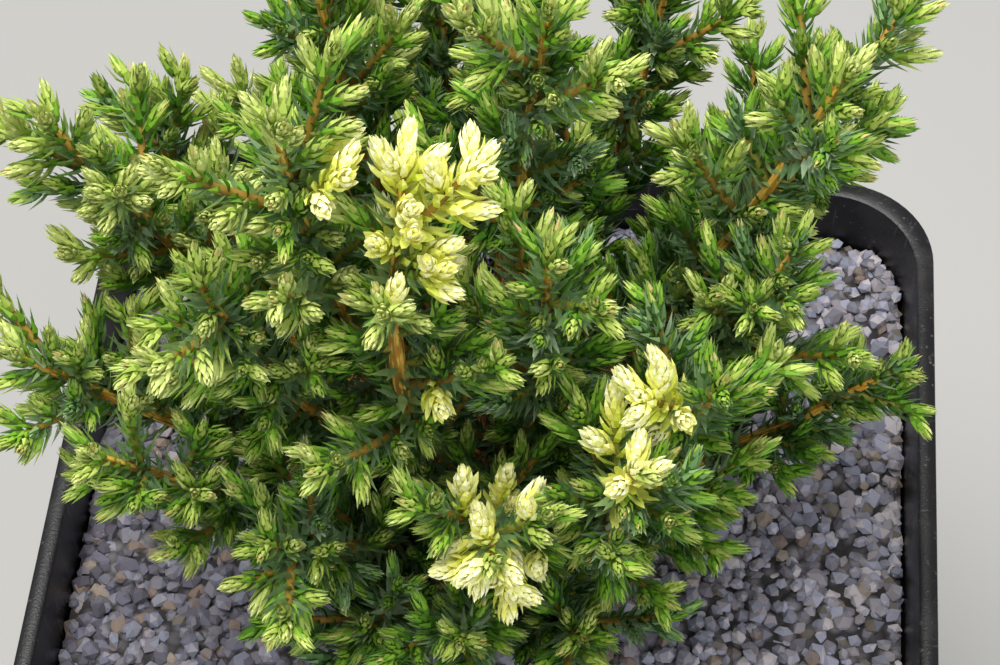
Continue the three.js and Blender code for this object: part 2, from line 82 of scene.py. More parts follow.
# Limbs: name, bearing, reach, height above the lip, foot above the grit, and the bend's two shares
LIMBS = [
    ("right_low", 5, 56, 39, 6, 0.55, 0.35),
    ("right_mid", 354, 38, 77, 14.5, 0.72, 0.4),
    ("right_high", 10, 42, 95, 25, 0.62, 0.4),
    ("right_back", 25, 54, 90, 20.5, 0.6, 0.4),
    ("back_right_low", 46, 55, 50, 8, 0.55, 0.38),
    ("back_right", 62, 44, 80, 13, 0.62, 0.42),
    ("back_top", 92, 21, 104, 30, 0.9, 0.45),
    ("back", 106, 44, 84, 17, 0.62, 0.42),
    ("back_low", 130, 53, 47, 8, 0.55, 0.38),
    ("back_left", 142, 30, 97, 26, 0.75, 0.42),
    ("left_back", 167, 48, 76, 16, 0.6, 0.4),
    ("left_high", 188, 52, 95, 22, 0.62, 0.42),
    ("left_wide", 203, 61, 70, 10.5, 0.56, 0.42),
    ("left_low", 214, 56, 60, 6, 0.55, 0.42),
    ("left_front", 222, 41, 94, 16.5, 0.72, 0.42),
    ("left_top", 229, 31, 117, 29, 0.85, 0.4),
    ("front_left_low", 238, 46, 55, 13, 0.6, 0.4),
    ("low_front_left", 248, 38, 26, 5, 0.5, 0.3),
    ("low_front", 270, 44, 42, 9, 0.55, 0.4),
    ("front_top", 253, 23, 111, 24.5, 1.7, 0.5),
    ("front_fall", 275, 48, 68, 16.5, 0.62, 0.85),
    ("front_mid", 290, 25, 98, 27.5, 1.0, 0.42),
    ("front_right", 297, 44, 79, 11.5, 0.72, 0.45),
    ("low_front_right", 291, 42, 37, 5.5, 0.55, 0.35),
    ("right_front", 315, 41, 82, 17.5, 0.7, 0.42),
    ("right_front_low", 321, 39, 52, 8, 0.6, 0.4),
]
# Slender limbs, and the share of its full length that a side shoot on them grows to
SLENDER = {"right_low": 0.55, "left_low": 0.8, "right_front_low": 0.8}
# The trunk's own leafy tip: bearing, reach and height above the lip
LEADER = (350, 7, 112)
LEADER_SEED = 50
BOUGH_SHARE = 0.32
BOUGH_FOOT_RADIUS = 1.6
BOUGH_TIP_RADIUS = 1.05

# The part's rule for side shoots
GOLDEN_ANGLE = 137.508
SHOOT_PITCH = 5.9
SHOOT_LENGTH = (24, 12)
SHOOT_VARIATION = 0.18
SHOOT_LEAN = 46
SHOOT_LEAN_VARIATION = 9
SHOOT_TURN_VARIATION = 30
SHOOT_UPTURN = 0.16
SHOOT_SHORTER = (1, 0.82, 0.66, 0.52, 0.4)
SHORTEST_SHOOT = 7
FIRST_SHOOT = 0.06
LAST_SHOOT = 0.86
SHOOT_TIP = 2.4
SPRAY_RADIUS = 3.1
PROBE_PITCH = 2.5
ROOM_STEPS = 8
LIP_MARGIN = 8
POT_CLEARANCE = 1

# Sprigs: how far back from their shoot's tip they stand, and their lengths
SPRIG_PLACES = (2.0, 3.1, 4.5, 6.3, 8.5, 11.0, 13.8, 16.8, 20.0)
SPRIG_LENGTHS = (3.6, 4.2, 4.8, 5.4, 6.0, 6.5, 6.9, 7.2, 7.4)
SPRIG_SHIFT = (0.9, 1.1)
SPRIG_SIZE = (0.85, 1.15)
SPRIG_SHADE_ON_STEM = (0.6, 1)
SPRIG_PITCH_ON_STEM = 3.8
SPRIG_ROOM = 1.7
SPRIG_RADIUS = 1
SPRIG_PROBES = np.array([0.55, 0.8, 1.05, 1.3])
SPRIG_LEAN = 36
SPRIG_LEAN_PER_MM = 1.4
SPRIG_LEAN_LIMIT = 12
SPRIG_LEAN_VARIATION = 10
SPRIG_UPTURN = 0.12
SPRIG_BEND_VARIATION = 0.12
LOWEST_SPRIG = 0.05

# Inner shoots: short ones that fill the free room along a limb
INNER_PITCH = 3.4
INNER_FOOT = 0.16
INNER_STRETCH = 0.72
INNER_LENGTH = (15, 9)
INNER_SIZE = (0.8, 1.2)
# Inner shoots carry only this share of their tip's light in their colours, least near the trunk: painted
# shade
INNER_SHADE = (0.35, 0.85)
INNER_ROOM = 2.2
INNER_RADIUS = 1.5
INNER_PROBES = np.linspace(0.4, 1.12, 6)
INNER_MARKS = np.linspace(0.3, 1.1, 7)
INNER_LEAN = 48
INNER_LEAN_VARIATION = 16
INNER_UPTURN = 0.2
INNER_SEEDS = 9000

# A twig that finds no room is tried again, turned by these degrees and shorter by this share
TRIES = 4
INNER_NEXT = (70, 0.13)
SPRIG_NEXT = (43, 0.1)
CROWD_CELL = 2.4
LIMB_MARKS = np.linspace(0, 1, 50)
SHOOT_MARKS = np.linspace(0.1, 1.05, 12)
CELLS_AROUND = list(product((-1, 0, 1), repeat=3))

# How much light a tip's colours carry from its height, from standing far out and from the left: partly paler
# sunlit growth and partly painted light and shade; the share from the left is painted light alone
CROWN_FOOT_Z = 140
CROWN_HEIGHT = 100
CROWN_RADIUS = 62
SUN_FROM_HEIGHT = 0.64
SUN_FROM_EDGE = 0.4
PAINTED_LIGHT_FROM_LEFT = 0.14

# Where sprays are cream: the middles and radii of balls
CREAM_PLACES = (
    (-5, -23, 233, 9.5), (-5, -29, 223, 6), (-2.5, -28.5, 200, 5), (3, -38, 192, 7.5), (5, -45, 188, 7.5),
    (18.5, -29, 204.5, 5.9), (17, -37, 203, 6),
)
CREAM_CHANCE = 0.88
# How often another spray is bluish
BLUE_CHANCE = 0.2

# Lanes along the line of sight that stay open: a point on each and its radius there
OPEN_LANES = np.array((
    (-46, -19, 170, 3.1), (-42, -21, 170, 3.1), (-40, -20, 170, 2.3), (-41, -6, 170, 2.9),
    (-56, 36, 170, 2.0), (-51, 29, 170, 2.3), (-37, 28, 170, 2.7), (-16, -9, 170, 2.2),
    (-10, 53, 170, 1.9), (3, 11, 170, 2.0), (7, 44, 170, 1.8), (24, 9, 170, 1.9),
    (30, -19, 170, 2.5), (35, -11, 170, 2.8), (34, 28, 170, 3.0), (38, 31, 170, 2.1),
    (2, -20, 170, 1.5), (17, -27, 170, 1.6), (43, 6, 170, 2.1), (-29, -40, 170, 3.0),
    (-63, 0, 170, 2.7), (-10, 5, 170, 1.3), (-43, -23, 170, 2.6),
    (-8, -25, 195, 1.8), (-8, -26, 201, 2.0), (-8, -26, 208, 1.8),
))

# Stems with a bare stretch, as parts of their length; the other stems have none within their length
BARE_STRETCHES = {"front_top": (0.42, 0.68)}
NOT_BARE = (2, 2)

# Needles: a distance back from the tip, and the size there. The last one is steps down in colour.
WHORL_GAP = ((0, 0.6), (2, 0.72), (4, 0.88), (8, 1.02), (14, 1.25))
NEEDLE_SPREAD = ((0, 6), (1, 8.5), (2, 11.5), (3.0, 16), (4.2, 25), (6, 36), (9, 46), (14, 54))
NEEDLE_LENGTH = ((0, 1.6), (1, 2.3), (2, 2.9), (3, 3.1), (5, 3.3), (9, 3.8))
NEEDLE_WIDTH = ((0, 0.6), (1, 0.82), (2.4, 0.95), (4, 0.95), (8, 0.9), (14, 0.86))
NEEDLE_BOW = ((0, 0.05), (1, 0.04), (2.5, 0.03), (5, 0.05))
NEEDLE_FOOT = ((0, 0.06), (1, 0.28), (2.4, 0.46), (8, 0.46))
GREEN_DROP = ((0, 0), (1.4, 0.1), (2.6, 0.7), (3.6, 1.5), (5, 2.0), (8, 2.6), (12, 3.2))
FIRST_WHORL = 0.15
LONGEST_STEM = 90
WHORL_SPACING = (0.92, 1.08)
VIGOUR = (0.9, 1.1)
STEM_LOOSENESS = 1.05
STEM_VIGOUR = 1.1
CREAM_WIDTH = 1.36
CREAM_SPREAD = 3
NAKED_FOOT = 0.9
NAKED_STEM_FOOT = 0.2

# The share of a stem's whorls that is missing, on a bare stretch and elsewhere, but none near its tip
BARE_LOSS = 0.75
STEM_LOSS = 0.04
FULL_TIP = 12

# Tan needles: their share at the very tip of a spray, from this level of colour on
TAN_SHARE = 0.18
TAN_BACK = 0.5
TAN_LEVEL = 2

# How much single needles stray
WHORL_TURN_NOISE = 0.12
TURN_NOISE = 0.1
SPREAD_NOISE = 4.5
LENGTH_NOISE = 0.08
WIDTH_NOISE = 0.06
BOW_NOISE = 0.015

# Steps up the ladder of colours
GREEN_LEVEL = 1.8
# How far up the ladder a tip's light from exposure_of lifts its colours; part of that light is painted
SUN_LEVEL = 2.5
SPRIG_LEVEL_VARIATION = 0.7
CREAM_LEVEL = 3.7
CREAM_LEVEL_VARIATION = 1.1
# Inner shoots are also coloured a step darker: painted shade deep in the crown
INNER_SHADE_DROP = 0.5
NEEDLE_LEVEL_VARIATION = 0.28


def turn(degrees):
    return math.radians(degrees)


def chance(seed, number):
    """The same random share, from 0 to 1, for the same seed and number. Numbers only tell draws apart."""
    value = math.sin(seed * 12.9898 + number * 78.233) * 43758.5453
    return value - math.floor(value)


def swing(seed, number):
    """The same random value, from -1 to 1, for the same seed and number."""
    return 2 * chance(seed, number) - 1


def between(stops, value):
    """What rising stops, each of a place and a size, give at this value."""
    places, sizes = zip(*stops)
    return np.interp(value, places, sizes)


def part_way(ends, part):
    """The value a part of the way from the first end to the second."""
    return ends[0] + (ends[1] - ends[0]) * part


def unit(vectors):
    return vectors / np.linalg.norm(vectors, axis=-1, keepdims=True)


def side_axes(along):
    """Two directions square to each direction, the second one square to the first."""
    upright = np.abs(along[..., 2:]) > 0.95
    across = unit(np.cross(along, np.where(upright, [1.0, 0.0, 0.0], UP)))
    return across, np.cross(along, across)


# Finishes


def paint(red, green, blue):
    """A colour as a painter reads it, from 0 to 255, made into the light it sends back."""
    shares = [value / 255 for value in (red, green, blue)]
    return (*[s / 12.92 if s <= 0.04045 else ((s + 0.055) / 1.055) ** 2.4 for s in shares], 1)


class Value:
    """A socket's value in a finish. An expression on values adds its Math nodes."""

    def __init__(self, finish, socket):
        self.finish = finish
        self.socket = socket

    def math(self, operation, first, second=0.0):
        return self.finish.node("Math", {"operation": operation}, {0: first, 1: second})

    def __add__(self, other):
        return self.math("ADD", self, other)

    def __sub__(self, other):
        return self.math("SUBTRACT", self, other)

    def __rsub__(self, other):
        return self.math("SUBTRACT", other, self)

    def __mul__(self, other):
        return self.math("MULTIPLY", self, other)

    __radd__ = __add__
    __rmul__ = __mul__


class Finish:
    """A material: one Principled surface and the nodes behind it."""

    def __init__(self, name, colour=(0.5, 0.5, 0.5, 1), **plain):
        self.material = bpy.data.materials.new(name)
        self.material.use_nodes = True
        self.tree = self.material.node_tree
        self.surface = self.tree.nodes["Principled BSDF"]
        self.wear(Base_Color=colour, **plain)

    def wear(self, **sockets):
        for name, value in sockets.items():
            self.feed(self.surface.inputs[name.replace("_", " ")], value)

    def feed(self, socket, value):
        if isinstance(value, Value):
            self.tree.links.new(value.socket, socket)
        else:
            socket.default_value = value

    def node(self, kind, settings, sockets, output=0):
        made = self.tree.nodes.new("ShaderNode" + kind)
        for key, value in settings.items():
            setattr(made, key, value)
        for key, value in sockets.items():
            self.feed(made.inputs[key], value)
        return Value(self, made.outputs[output])

    def place(self):
        return self.node("TexCoord", {}, {}, output="Object")

    def stretched(self, place, scale):
        return self.node("VectorMath", {"operation": "MULTIPLY"}, {0: place, 1: scale})

    def noise(self, place, scale, detail=4.0, roughness=0.55):
        sockets = {"Vector": place, "Scale": scale, "Detail": detail, "Roughness": roughness}
        return self.node("TexNoise", {}, sockets)

    def cells(self, place, scale, output="Distance"):
        return self.node("TexVoronoi", {}, {"Vector": place, "Scale": scale}, output=output)

    def ramp(self, value, low, high):
        return self.node("MapRange", {"clamp": True}, {"Value": value, "From Min": low, "From Max": high})

    def mixed(self, share, first, second):
        return self.node("Mix", {"data_type": "RGBA"}, {"Factor": share, 6: first, 7: second}, output=2)

    def bumped(self, height, strength, distance):
        return self.node("Bump", {}, {"Height": height, "Strength": strength, "Distance": distance})


def moulded_plastic():
    """Black pot plastic: satin and faintly grained, with fine scratches, haze and specks of grit dust."""
    finish = Finish("moulded plastic", Specular_IOR_Level=0.4)
    place = finish.place()
    grain = finish.noise(place, 2600.0, 2.0)
    haze = finish.noise(place, 46.0, 6.0, 0.62)
    dust = finish.ramp(haze, 0.52, 0.74)
    specks = finish.ramp(finish.cells(place, 700.0), 0.2, 0.05)
    grit_dust = specks * finish.ramp(finish.noise(place, 120.0, 3.0), 0.5, 0.62)
    scratch = finish.ramp(finish.noise(finish.stretched(place, (900.0, 900.0, 60.0)), 1.0, 3.0), 0.62, 0.7)
    colour = finish.mixed(dust * 0.45, paint(18, 17, 20), paint(62, 59, 58))
    colour = finish.mixed(grit_dust * 0.6, colour, paint(134, 126, 116))
    finish.wear(
        Base_Color=finish.mixed(scratch * 0.25, colour, paint(96, 94, 96)),
        Roughness=dust * 0.28 + grain * 0.1 + 0.3,
        Normal=finish.bumped(grain * 0.35 + haze * 0.5 + scratch * 0.3, 0.22, 0.0006),
    )
    return finish


def damp_soil():
    finish = Finish("damp compost")
    place = finish.place()
    crumbs = finish.noise(place, 420.0, 8.0, 0.68)
    finish.wear(
        Base_Color=finish.mixed(finish.ramp(crumbs, 0.35, 0.68), paint(26, 18, 12), paint(74, 54, 36)),
        Roughness=crumbs * 0.2 + 0.78,
        Normal=finish.bumped(crumbs, 0.8, 0.002),
    )
    return finish


def grit_bed():
    """The fine grit between and under the loose stones, darker between its grains with painted shade."""
    finish = Finish("grit bed")
    place = finish.place()
    stones = finish.cells(place, 420.0)
    tone = finish.node("SeparateColor", {}, {0: finish.cells(place, 420.0, output="Color")})
    colour = finish.mixed(tone, paint(74, 71, 75), paint(128, 124, 128))
    finish.wear(
        # Darker towards the edges of the grains: painted shade in the gaps between them
        Base_Color=finish.mixed(finish.ramp(stones, 0.3, 0.62), colour, paint(46, 43, 44)),
        Roughness=finish.noise(place, 900.0) * 0.2 + 0.75,
        Normal=finish.bumped(1 - stones, 1.0, 0.0016),
    )
    return finish


def fibrous_bark(name, dark, ground, fibre):
    """Thin bark that splits into long fibres, from the grain that is stored along each limb."""
    finish = Finish(name)
    grain = finish.node("Attribute", {"attribute_name": "grain"}, {}, output="Vector")
    long_fibres = finish.noise(finish.stretched(grain, (1.0, 1.0, 0.12)), 2.6, 4.0, 0.5)
    cracks = finish.ramp(finish.noise(finish.stretched(grain, (1.0, 1.0, 0.1)), 1.5, 3.0), 0.47, 0.4)
    patches = finish.noise(grain, 0.22, 3.0)
    colour = finish.mixed(finish.ramp(long_fibres, 0.43, 0.6), ground, fibre)
    colour = finish.mixed(finish.ramp(patches, 0.42, 0.7) * 0.5, colour, dark)
    finish.wear(
        Base_Color=finish.mixed(cracks * 0.75, colour, dark),
        Roughness=long_fibres * 0.25 + 0.55,
        Normal=finish.bumped(long_fibres - cracks * 0.6, 0.7, 0.0004),
    )
    return finish


def pale_floor():
    finish = Finish("pale floor")
    cloud = finish.noise(finish.place(), 3.0, 3.0)
    finish.wear(
        Base_Color=finish.mixed(cloud, paint(172, 171, 169), paint(180, 179, 177)),
        Roughness=cloud * 0.1 + 0.7,
    )
    return finish


# Needle colours: the flanks, the foot, darker with painted shade, the tip and the waxy band on the face
# towards the stem
NEEDLE_COLOURS = {
    "deep": ((50, 91, 24), (38, 74, 20), (76, 114, 36), (104, 136, 92)),
    "mid": ((73, 126, 30), (58, 104, 24), (100, 144, 42), (122, 154, 98)),
    "fresh": ((104, 154, 40), (88, 132, 32), (134, 172, 58), (146, 174, 108)),
    "lime": ((156, 180, 76), (134, 164, 58), (184, 200, 104), (176, 194, 112)),
    "pale": ((188, 202, 112), (168, 186, 90), (214, 220, 142), (202, 212, 136)),
    "bluish": ((88, 126, 72), (66, 104, 50), (130, 160, 106), (160, 184, 148)),
    "tan": ((200, 192, 116), (176, 174, 88), (214, 186, 122), (210, 200, 130)),
    "sallow": ((216, 226, 86), (194, 210, 60), (236, 240, 140), (228, 234, 114)),
    "cream": ((247, 247, 128), (238, 238, 100), (253, 253, 182), (250, 250, 156)),
    "white": ((252, 252, 180), (248, 246, 136), (254, 254, 222), (254, 253, 196)),
}
CREAM_KINDS = ("sallow", "cream", "white")
GREEN_LADDER = ("deep", "mid", "fresh", "lime", "pale")
BLUE_LADDER = ("deep", "bluish", "bluish", "fresh", "lime")
CREAM_LADDER = ("mid", "fresh", "sallow", "cream", "white")


def needle_finishes(kind):
    # The foot's finish is darkened with painted shade.
    parts = ("flank", "foot", "tip", "band")
    return [
        Finish(f"needle {kind} {part}", paint(*colour), Roughness=0.5, Specular_IOR_Level=0.28)
        for part, colour in zip(parts, NEEDLE_COLOURS[kind])
    ]


# Putting pieces together


def put(name, data):
    made = bpy.data.objects.new(name, data)
    bpy.context.scene.collection.objects.link(made)
    return made


class Heap:
    """Faces of many small shapes that are joined into one piece."""

    def __init__(self):
        self.points, self.corners, self.sizes, self.slots, self.grain = [], [], [], [], []
        self.count = 0

    def add(self, points, faces, slots=0, grain=None):
        """Adds points, and faces that are arrays of equally many corners each."""
        for face_array in faces:
            face_array = np.asarray(face_array)
            self.corners.append((face_array + self.count).ravel())
            self.sizes.append(np.full(len(face_array), face_array.shape[1]))
        total = sum(len(face_array) for face_array in faces)
        self.slots.append(np.broadcast_to(slots, total))
        self.points.append(points)
        self.grain.append(np.zeros((len(points), 3)) if grain is None else grain)
        self.count += len(points)

    def piece(self, name, finishes, slot, replaced=(), smooth=False):
        """The heap as one piece on the plant's body, in the place of the replaced nodes."""
        sizes = np.concatenate(self.sizes).astype(np.int32)
        corners = np.concatenate(self.corners).astype(np.int32)
        points = np.concatenate(self.points) * MM
        mesh = bpy.data.meshes.new(name)
        mesh.vertices.add(len(points))
        mesh.vertices.foreach_set("co", points.astype(np.float32).ravel())
        mesh.loops.add(len(corners))
        mesh.loops.foreach_set("vertex_index", corners)
        mesh.polygons.add(len(sizes))
        first_corners = np.concatenate([[0], np.cumsum(sizes)[:-1]])
        mesh.polygons.foreach_set("loop_start", first_corners.astype(np.int32))
        for finish in finishes:
            mesh.materials.append(finish.material)
        mesh.polygons.foreach_set("material_index", np.concatenate(self.slots).astype(np.int32))
        mesh.update(calc_edges=True)
        mesh.polygons.foreach_set("use_smooth", np.full(len(sizes), smooth))
        grain = mesh.attributes.new("grain", "FLOAT_VECTOR", "POINT")
        grain.data.foreach_set("vector", np.concatenate(self.grain).astype(np.float32).ravel())
        made = put(name, mesh)
        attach(made, "root")
        if replaced:
            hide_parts(*replaced)
        return made


def ring_faces(rings, sides):
    """Quads between rings of equally many points."""
    ring, side = np.meshgrid(np.arange(rings - 1), np.arange(sides), indexing="ij")
    first = (ring * sides + side).ravel()
    second = (ring * sides + (side + 1) % sides).ravel()
    return np.stack([first, second, second + sides, first + sides], axis=1)


# Limbs and shoots


def trunk_centre(rise):
    rise = np.asarray(rise, float)
    sway = TRUNK_SWAY * np.sin(rise / TRUNK_RISE[-1] * math.pi * 2)
    return np.stack([TRUNK_LEAN[0] * rise + sway, TRUNK_LEAN[1] * rise - sway / 2, GRIT_Z + rise], axis=-1)


class LimbLine:
    """A smooth line from a foot to a tip, bent at a middle point, walked evenly by length."""

    STEPS = 200
    NEAR = 0.0001

    def __init__(self, foot, bend, tip):
        self.foot, self.bend, self.tip = foot, bend, tip
        self.shares = np.linspace(0, 1, self.STEPS + 1)
        walked = np.linalg.norm(np.diff(self.raw(self.shares), axis=0), axis=1)
        self.walked = np.concatenate([[0], np.cumsum(walked)])
        self.length = self.walked[-1]

    def raw(self, share):
        share = np.asarray(share, float)[..., None]
        return (1 - share) ** 2 * self.foot + 2 * (1 - share) * share * self.bend + share**2 * self.tip

    def even(self, share):
        return np.interp(np.asarray(share) * self.length, self.walked, self.shares)

    def at(self, share):
        return self.raw(self.even(share))

    def along(self, share):
        middle = self.even(share)
        after, before = np.minimum(middle + self.NEAR, 1), np.maximum(middle - self.NEAR, 0)
        return unit(self.raw(after) - self.raw(before))


def tip_of(bearing, reach, height):
    return np.array([reach * math.cos(turn(bearing)), reach * math.sin(turn(bearing)), POT_HEIGHT + height])


def limb_line(bearing, reach, height, foot_rise, out_share, rise_share):
    foot, tip = trunk_centre(foot_rise), tip_of(bearing, reach, height)
    return LimbLine(foot, foot + (tip - foot) * [out_share, out_share, rise_share], tip)


def leader_line():
    foot, tip = trunk_centre(2 * GAP + TRUNK_RISE[-1]), tip_of(*LEADER)
    return LimbLine(foot, np.array([foot[0], foot[1], (foot[2] + tip[2]) / 2]), tip)


class Stem:
    """The leafy part of a limb."""

    def __init__(self, name, line, start, seed):
        self.name, self.line, self.start, self.seed = name, line, start, seed
        self.length = line.length * (1 - start)
        self.count = int(self.length * (LAST_SHOOT - FIRST_SHOOT) / SHOOT_PITCH + 0.5)
        self.shoots = []

    def at(self, part):
        return self.line.at(self.start + (1 - self.start) * np.asarray(part))

    def along(self, part):
        return self.line.along(self.start + (1 - self.start) * np.asarray(part))


class Shoot:
    """A shoot that leaves its root in one direction and bends as it grows."""

    def __init__(self, root, direction, length, seed, bend=UP * SHOOT_UPTURN):
        self.root, self.direction, self.length, self.seed, self.bend = root, direction, length, seed, bend

    def at(self, part):
        part = np.asarray(part, float)[..., None]
        return self.root + self.length * (self.direction * part + self.bend * part**2)

    def along(self, part):
        return unit(self.direction + 2 * self.bend * np.asarray(part, float)[..., None])


class Room:
    """The room that limbs and sprays take up, as straight stretches with a radius and an owner."""

    def __init__(self):
        self.starts, self.ends = np.zeros((0, 3)), np.zeros((0, 3))
        self.radii, self.owners = np.zeros(0), np.zeros(0, int)

    def take(self, points, radius, owner):
        self.starts = np.concatenate([self.starts, points[:-1]])
        self.ends = np.concatenate([self.ends, points[1:]])
        self.radii = np.concatenate([self.radii, np.full(len(points) - 1, radius)])
        self.owners = np.concatenate([self.owners, np.full(len(points) - 1, owner)])

    def is_free(self, points, radius, owner):
        other = self.owners != owner
        start, stretch = self.starts[other], (self.ends - self.starts)[other]
        away = points[:, None] - start
        share = np.clip((away * stretch).sum(-1) / (stretch**2).sum(-1), 0, 1)
        distance = np.linalg.norm(away - share[..., None] * stretch, axis=-1)
        return bool((distance > radius + self.radii[other] + GAP).all())


def is_above_pot(points, radius):
    over_lip = np.abs(points[:, :2]).max(axis=1) > LIP_WIDTH / 2 - LIP_MARGIN
    return bool((points[:, 2] > np.where(over_lip, POT_HEIGHT, GRIT_Z) + radius + POT_CLEARANCE).all())


def leaning(path, part, angle, lean):
    """The direction that leans out from a path at a part of its length, turned round it by an angle."""
    along = path.along(part)
    across, other = side_axes(along)
    side = across * math.cos(angle) + other * math.sin(angle)
    return along * math.cos(lean) + side * math.sin(lean)


def full_shoot(stem, number):
    """The seeded rule: where side shoot of this number grows from, which way and how far."""
    seed = stem.seed
    part = LAST_SHOOT - (LAST_SHOOT - FIRST_SHOOT) * (number + 0.5) / stem.count
    wander = SHOOT_TURN_VARIATION * (chance(seed, number + 40) - 0.5)
    angle = turn(GOLDEN_ANGLE * number + 360 * chance(seed, 0) + wander)
    lean = turn(SHOOT_LEAN + SHOOT_LEAN_VARIATION * swing(seed, number + 80))
    length = part_way(SHOOT_LENGTH, part)
    length *= SLENDER.get(stem.name, 1)
    length *= 1 + SHOOT_VARIATION * swing(seed, number + 120)
    return Shoot(stem.at(part), leaning(stem, part, angle, lean), length, 100 * seed + number)


def fit_shoot(stem, number, room, owner):
    """A shoot that would leave the free room is tried shorter, and is skipped where even that fails."""
    shoot = full_shoot(stem, number)
    whole = shoot.length
    for shorter in SHOOT_SHORTER:
        shoot.length = whole * shorter
        if shoot.length < SHORTEST_SHOOT:
            return None
        steps = math.ceil((shoot.length + SHOOT_TIP) / PROBE_PITCH)
        reach = 1 + SHOOT_TIP / shoot.length
        points = shoot.at(reach * np.arange(1, steps + 1) / steps)
        if is_above_pot(points, SPRAY_RADIUS) and room.is_free(points, SPRAY_RADIUS, owner):
            room.take(np.vstack([shoot.root, points]), SPRAY_RADIUS, owner)
            return shoot
    return None


def grow_limbs():
    """The limbs of the part, and each leafy stem with its side shoots, by the part's own rule."""
    room = Room()
    room.take(trunk_centre(TRUNK_RISE), TRUNK_ROOM, -1)
    stems = []
    for number, (name, *sizes) in enumerate(LIMBS):
        line = limb_line(*sizes)
        room.take(line.at(np.linspace(0, BOUGH_SHARE, ROOM_STEPS + 1)), BOUGH_FOOT_RADIUS, number)
        stems.append(Stem(name, line, BOUGH_SHARE + GAP / line.length, number + 1))
    stems.append(Stem("leader", leader_line(), 0, LEADER_SEED))
    for owner, stem in enumerate(stems):
        room.take(stem.at(np.linspace(0, 1, ROOM_STEPS + 1)), SPRAY_RADIUS, owner)
    for number in range(max(stem.count for stem in stems)):
        for owner, stem in enumerate(stems):
            shoot = fit_shoot(stem, number, room, owner) if number < stem.count else None
            if shoot:
                stem.shoots.append(shoot)
    return stems


# Twigs on the part's shoots

STEM, SHOOT, SPRIG = range(3)


class Crowd:
    """Points of twigs that are already there, kept in small cells, to keep new twigs apart."""

    def __init__(self, cell):
        self.cell, self.cells = cell, {}

    def cells_of(self, points):
        return [tuple(place) for place in np.floor(points / self.cell).astype(int)]

    def add(self, points, owner):
        for place, point in zip(self.cells_of(points), points):
            self.cells.setdefault(place, []).append((*point, owner))

    def is_free(self, points, distance, owner):
        for (x, y, z), point in zip(self.cells_of(points), points):
            for i, j, k in CELLS_AROUND:
                for px, py, pz, other in self.cells.get((x + i, y + j, z + k), ()):
                    apart = (px - point[0]) ** 2 + (py - point[1]) ** 2 + (pz - point[2]) ** 2
                    if other != owner and apart < distance**2:
                        return False
        return True


# A stem, shoot or sprig with its own needles, whose colours go by the spray
Spray = namedtuple("Spray", "path exposure ladder wood inner", defaults=[False])


def exposure_of(point):
    """How much light a tip's colours carry, from 0 deep in the crown to 1 at its top, its edge and its left
    side: partly paler sunlit growth, partly painted light and shade.
    """
    height = (point[2] - CROWN_FOOT_Z) / CROWN_HEIGHT
    out, left = np.hypot(point[0], point[1]) / CROWN_RADIUS, -point[0] / CROWN_RADIUS
    return float(np.clip(height * SUN_FROM_HEIGHT + out * SUN_FROM_EDGE + left * PAINTED_LIGHT_FROM_LEFT, 0, 1))


def is_in_lane(points):
    """Whether any of these points is in an open lane."""
    eye = np.array(CAMERA_PLACE) / MM
    reach = np.linalg.norm(OPEN_LANES[:, :3] - eye, axis=1)
    depth = (points - eye) @ unit(OPEN_LANES[:, :3] - eye).T
    beside = np.sqrt(np.maximum(((points - eye) ** 2).sum(axis=1)[:, None] - depth**2, 0))
    return bool((beside < OPEN_LANES[:, 3] * depth / reach).any())


def green_or_blue(seed):
    return BLUE_LADDER if chance(seed, 5) < BLUE_CHANCE else GREEN_LADDER


def ladder_at(point, seed, ladder):
    """The colours of a spray with its tip at this point: cream in the cream places, else as given."""
    inside = any(np.linalg.norm(point - place) < radius for *place, radius in CREAM_PLACES)
    return CREAM_LADDER if inside and chance(seed, 6) < CREAM_CHANCE else ladder


def spray_of(path, wood, shade=1, inner=False):
    tip = path.at(1)
    ladder = ladder_at(tip, path.seed, green_or_blue(path.seed))
    return Spray(path, exposure_of(tip) * shade, ladder, wood, inner)


def has_room(points, radius, crowd, apart, owner):
    """Whether a twig through these points clears the pot, the open lanes and all twigs but its owner's."""
    clear = is_above_pot(points, radius) and not is_in_lane(points)
    return clear and crowd.is_free(points, apart, owner)


def grow_inner_shoots(stems, crowd):
    """Short shoots along the boughs and the inner stems, where there is room for them."""
    grown = []
    for stem in stems:
        line = stem.line
        count = int(line.length * INNER_STRETCH / INNER_PITCH)
        for number in range(count):
            share = INNER_FOOT + INNER_STRETCH * (number + 0.5) / count
            seed = INNER_SEEDS + 100 * stem.seed + number
            lean = turn(INNER_LEAN + INNER_LEAN_VARIATION * (chance(seed, 2) - 0.3))
            for attempt in range(TRIES):
                wander = INNER_NEXT[0] * attempt
                angle = turn(GOLDEN_ANGLE * (number + 0.5) + wander + 360 * chance(stem.seed, 11))
                size = part_way(INNER_SIZE, chance(seed, 3)) * (1 - INNER_NEXT[1] * attempt)
                length = part_way(INNER_LENGTH, share) * size
                direction = leaning(line, share, angle, lean)
                shoot = Shoot(line.at(share), direction, length, seed, UP * INNER_UPTURN)
                if has_room(shoot.at(INNER_PROBES), INNER_RADIUS, crowd, INNER_ROOM, -stem.seed):
                    crowd.add(shoot.at(INNER_MARKS), seed)
                    grown.append(spray_of(shoot, SHOOT, part_way(INNER_SHADE, share), inner=True))
                    break
    return grown


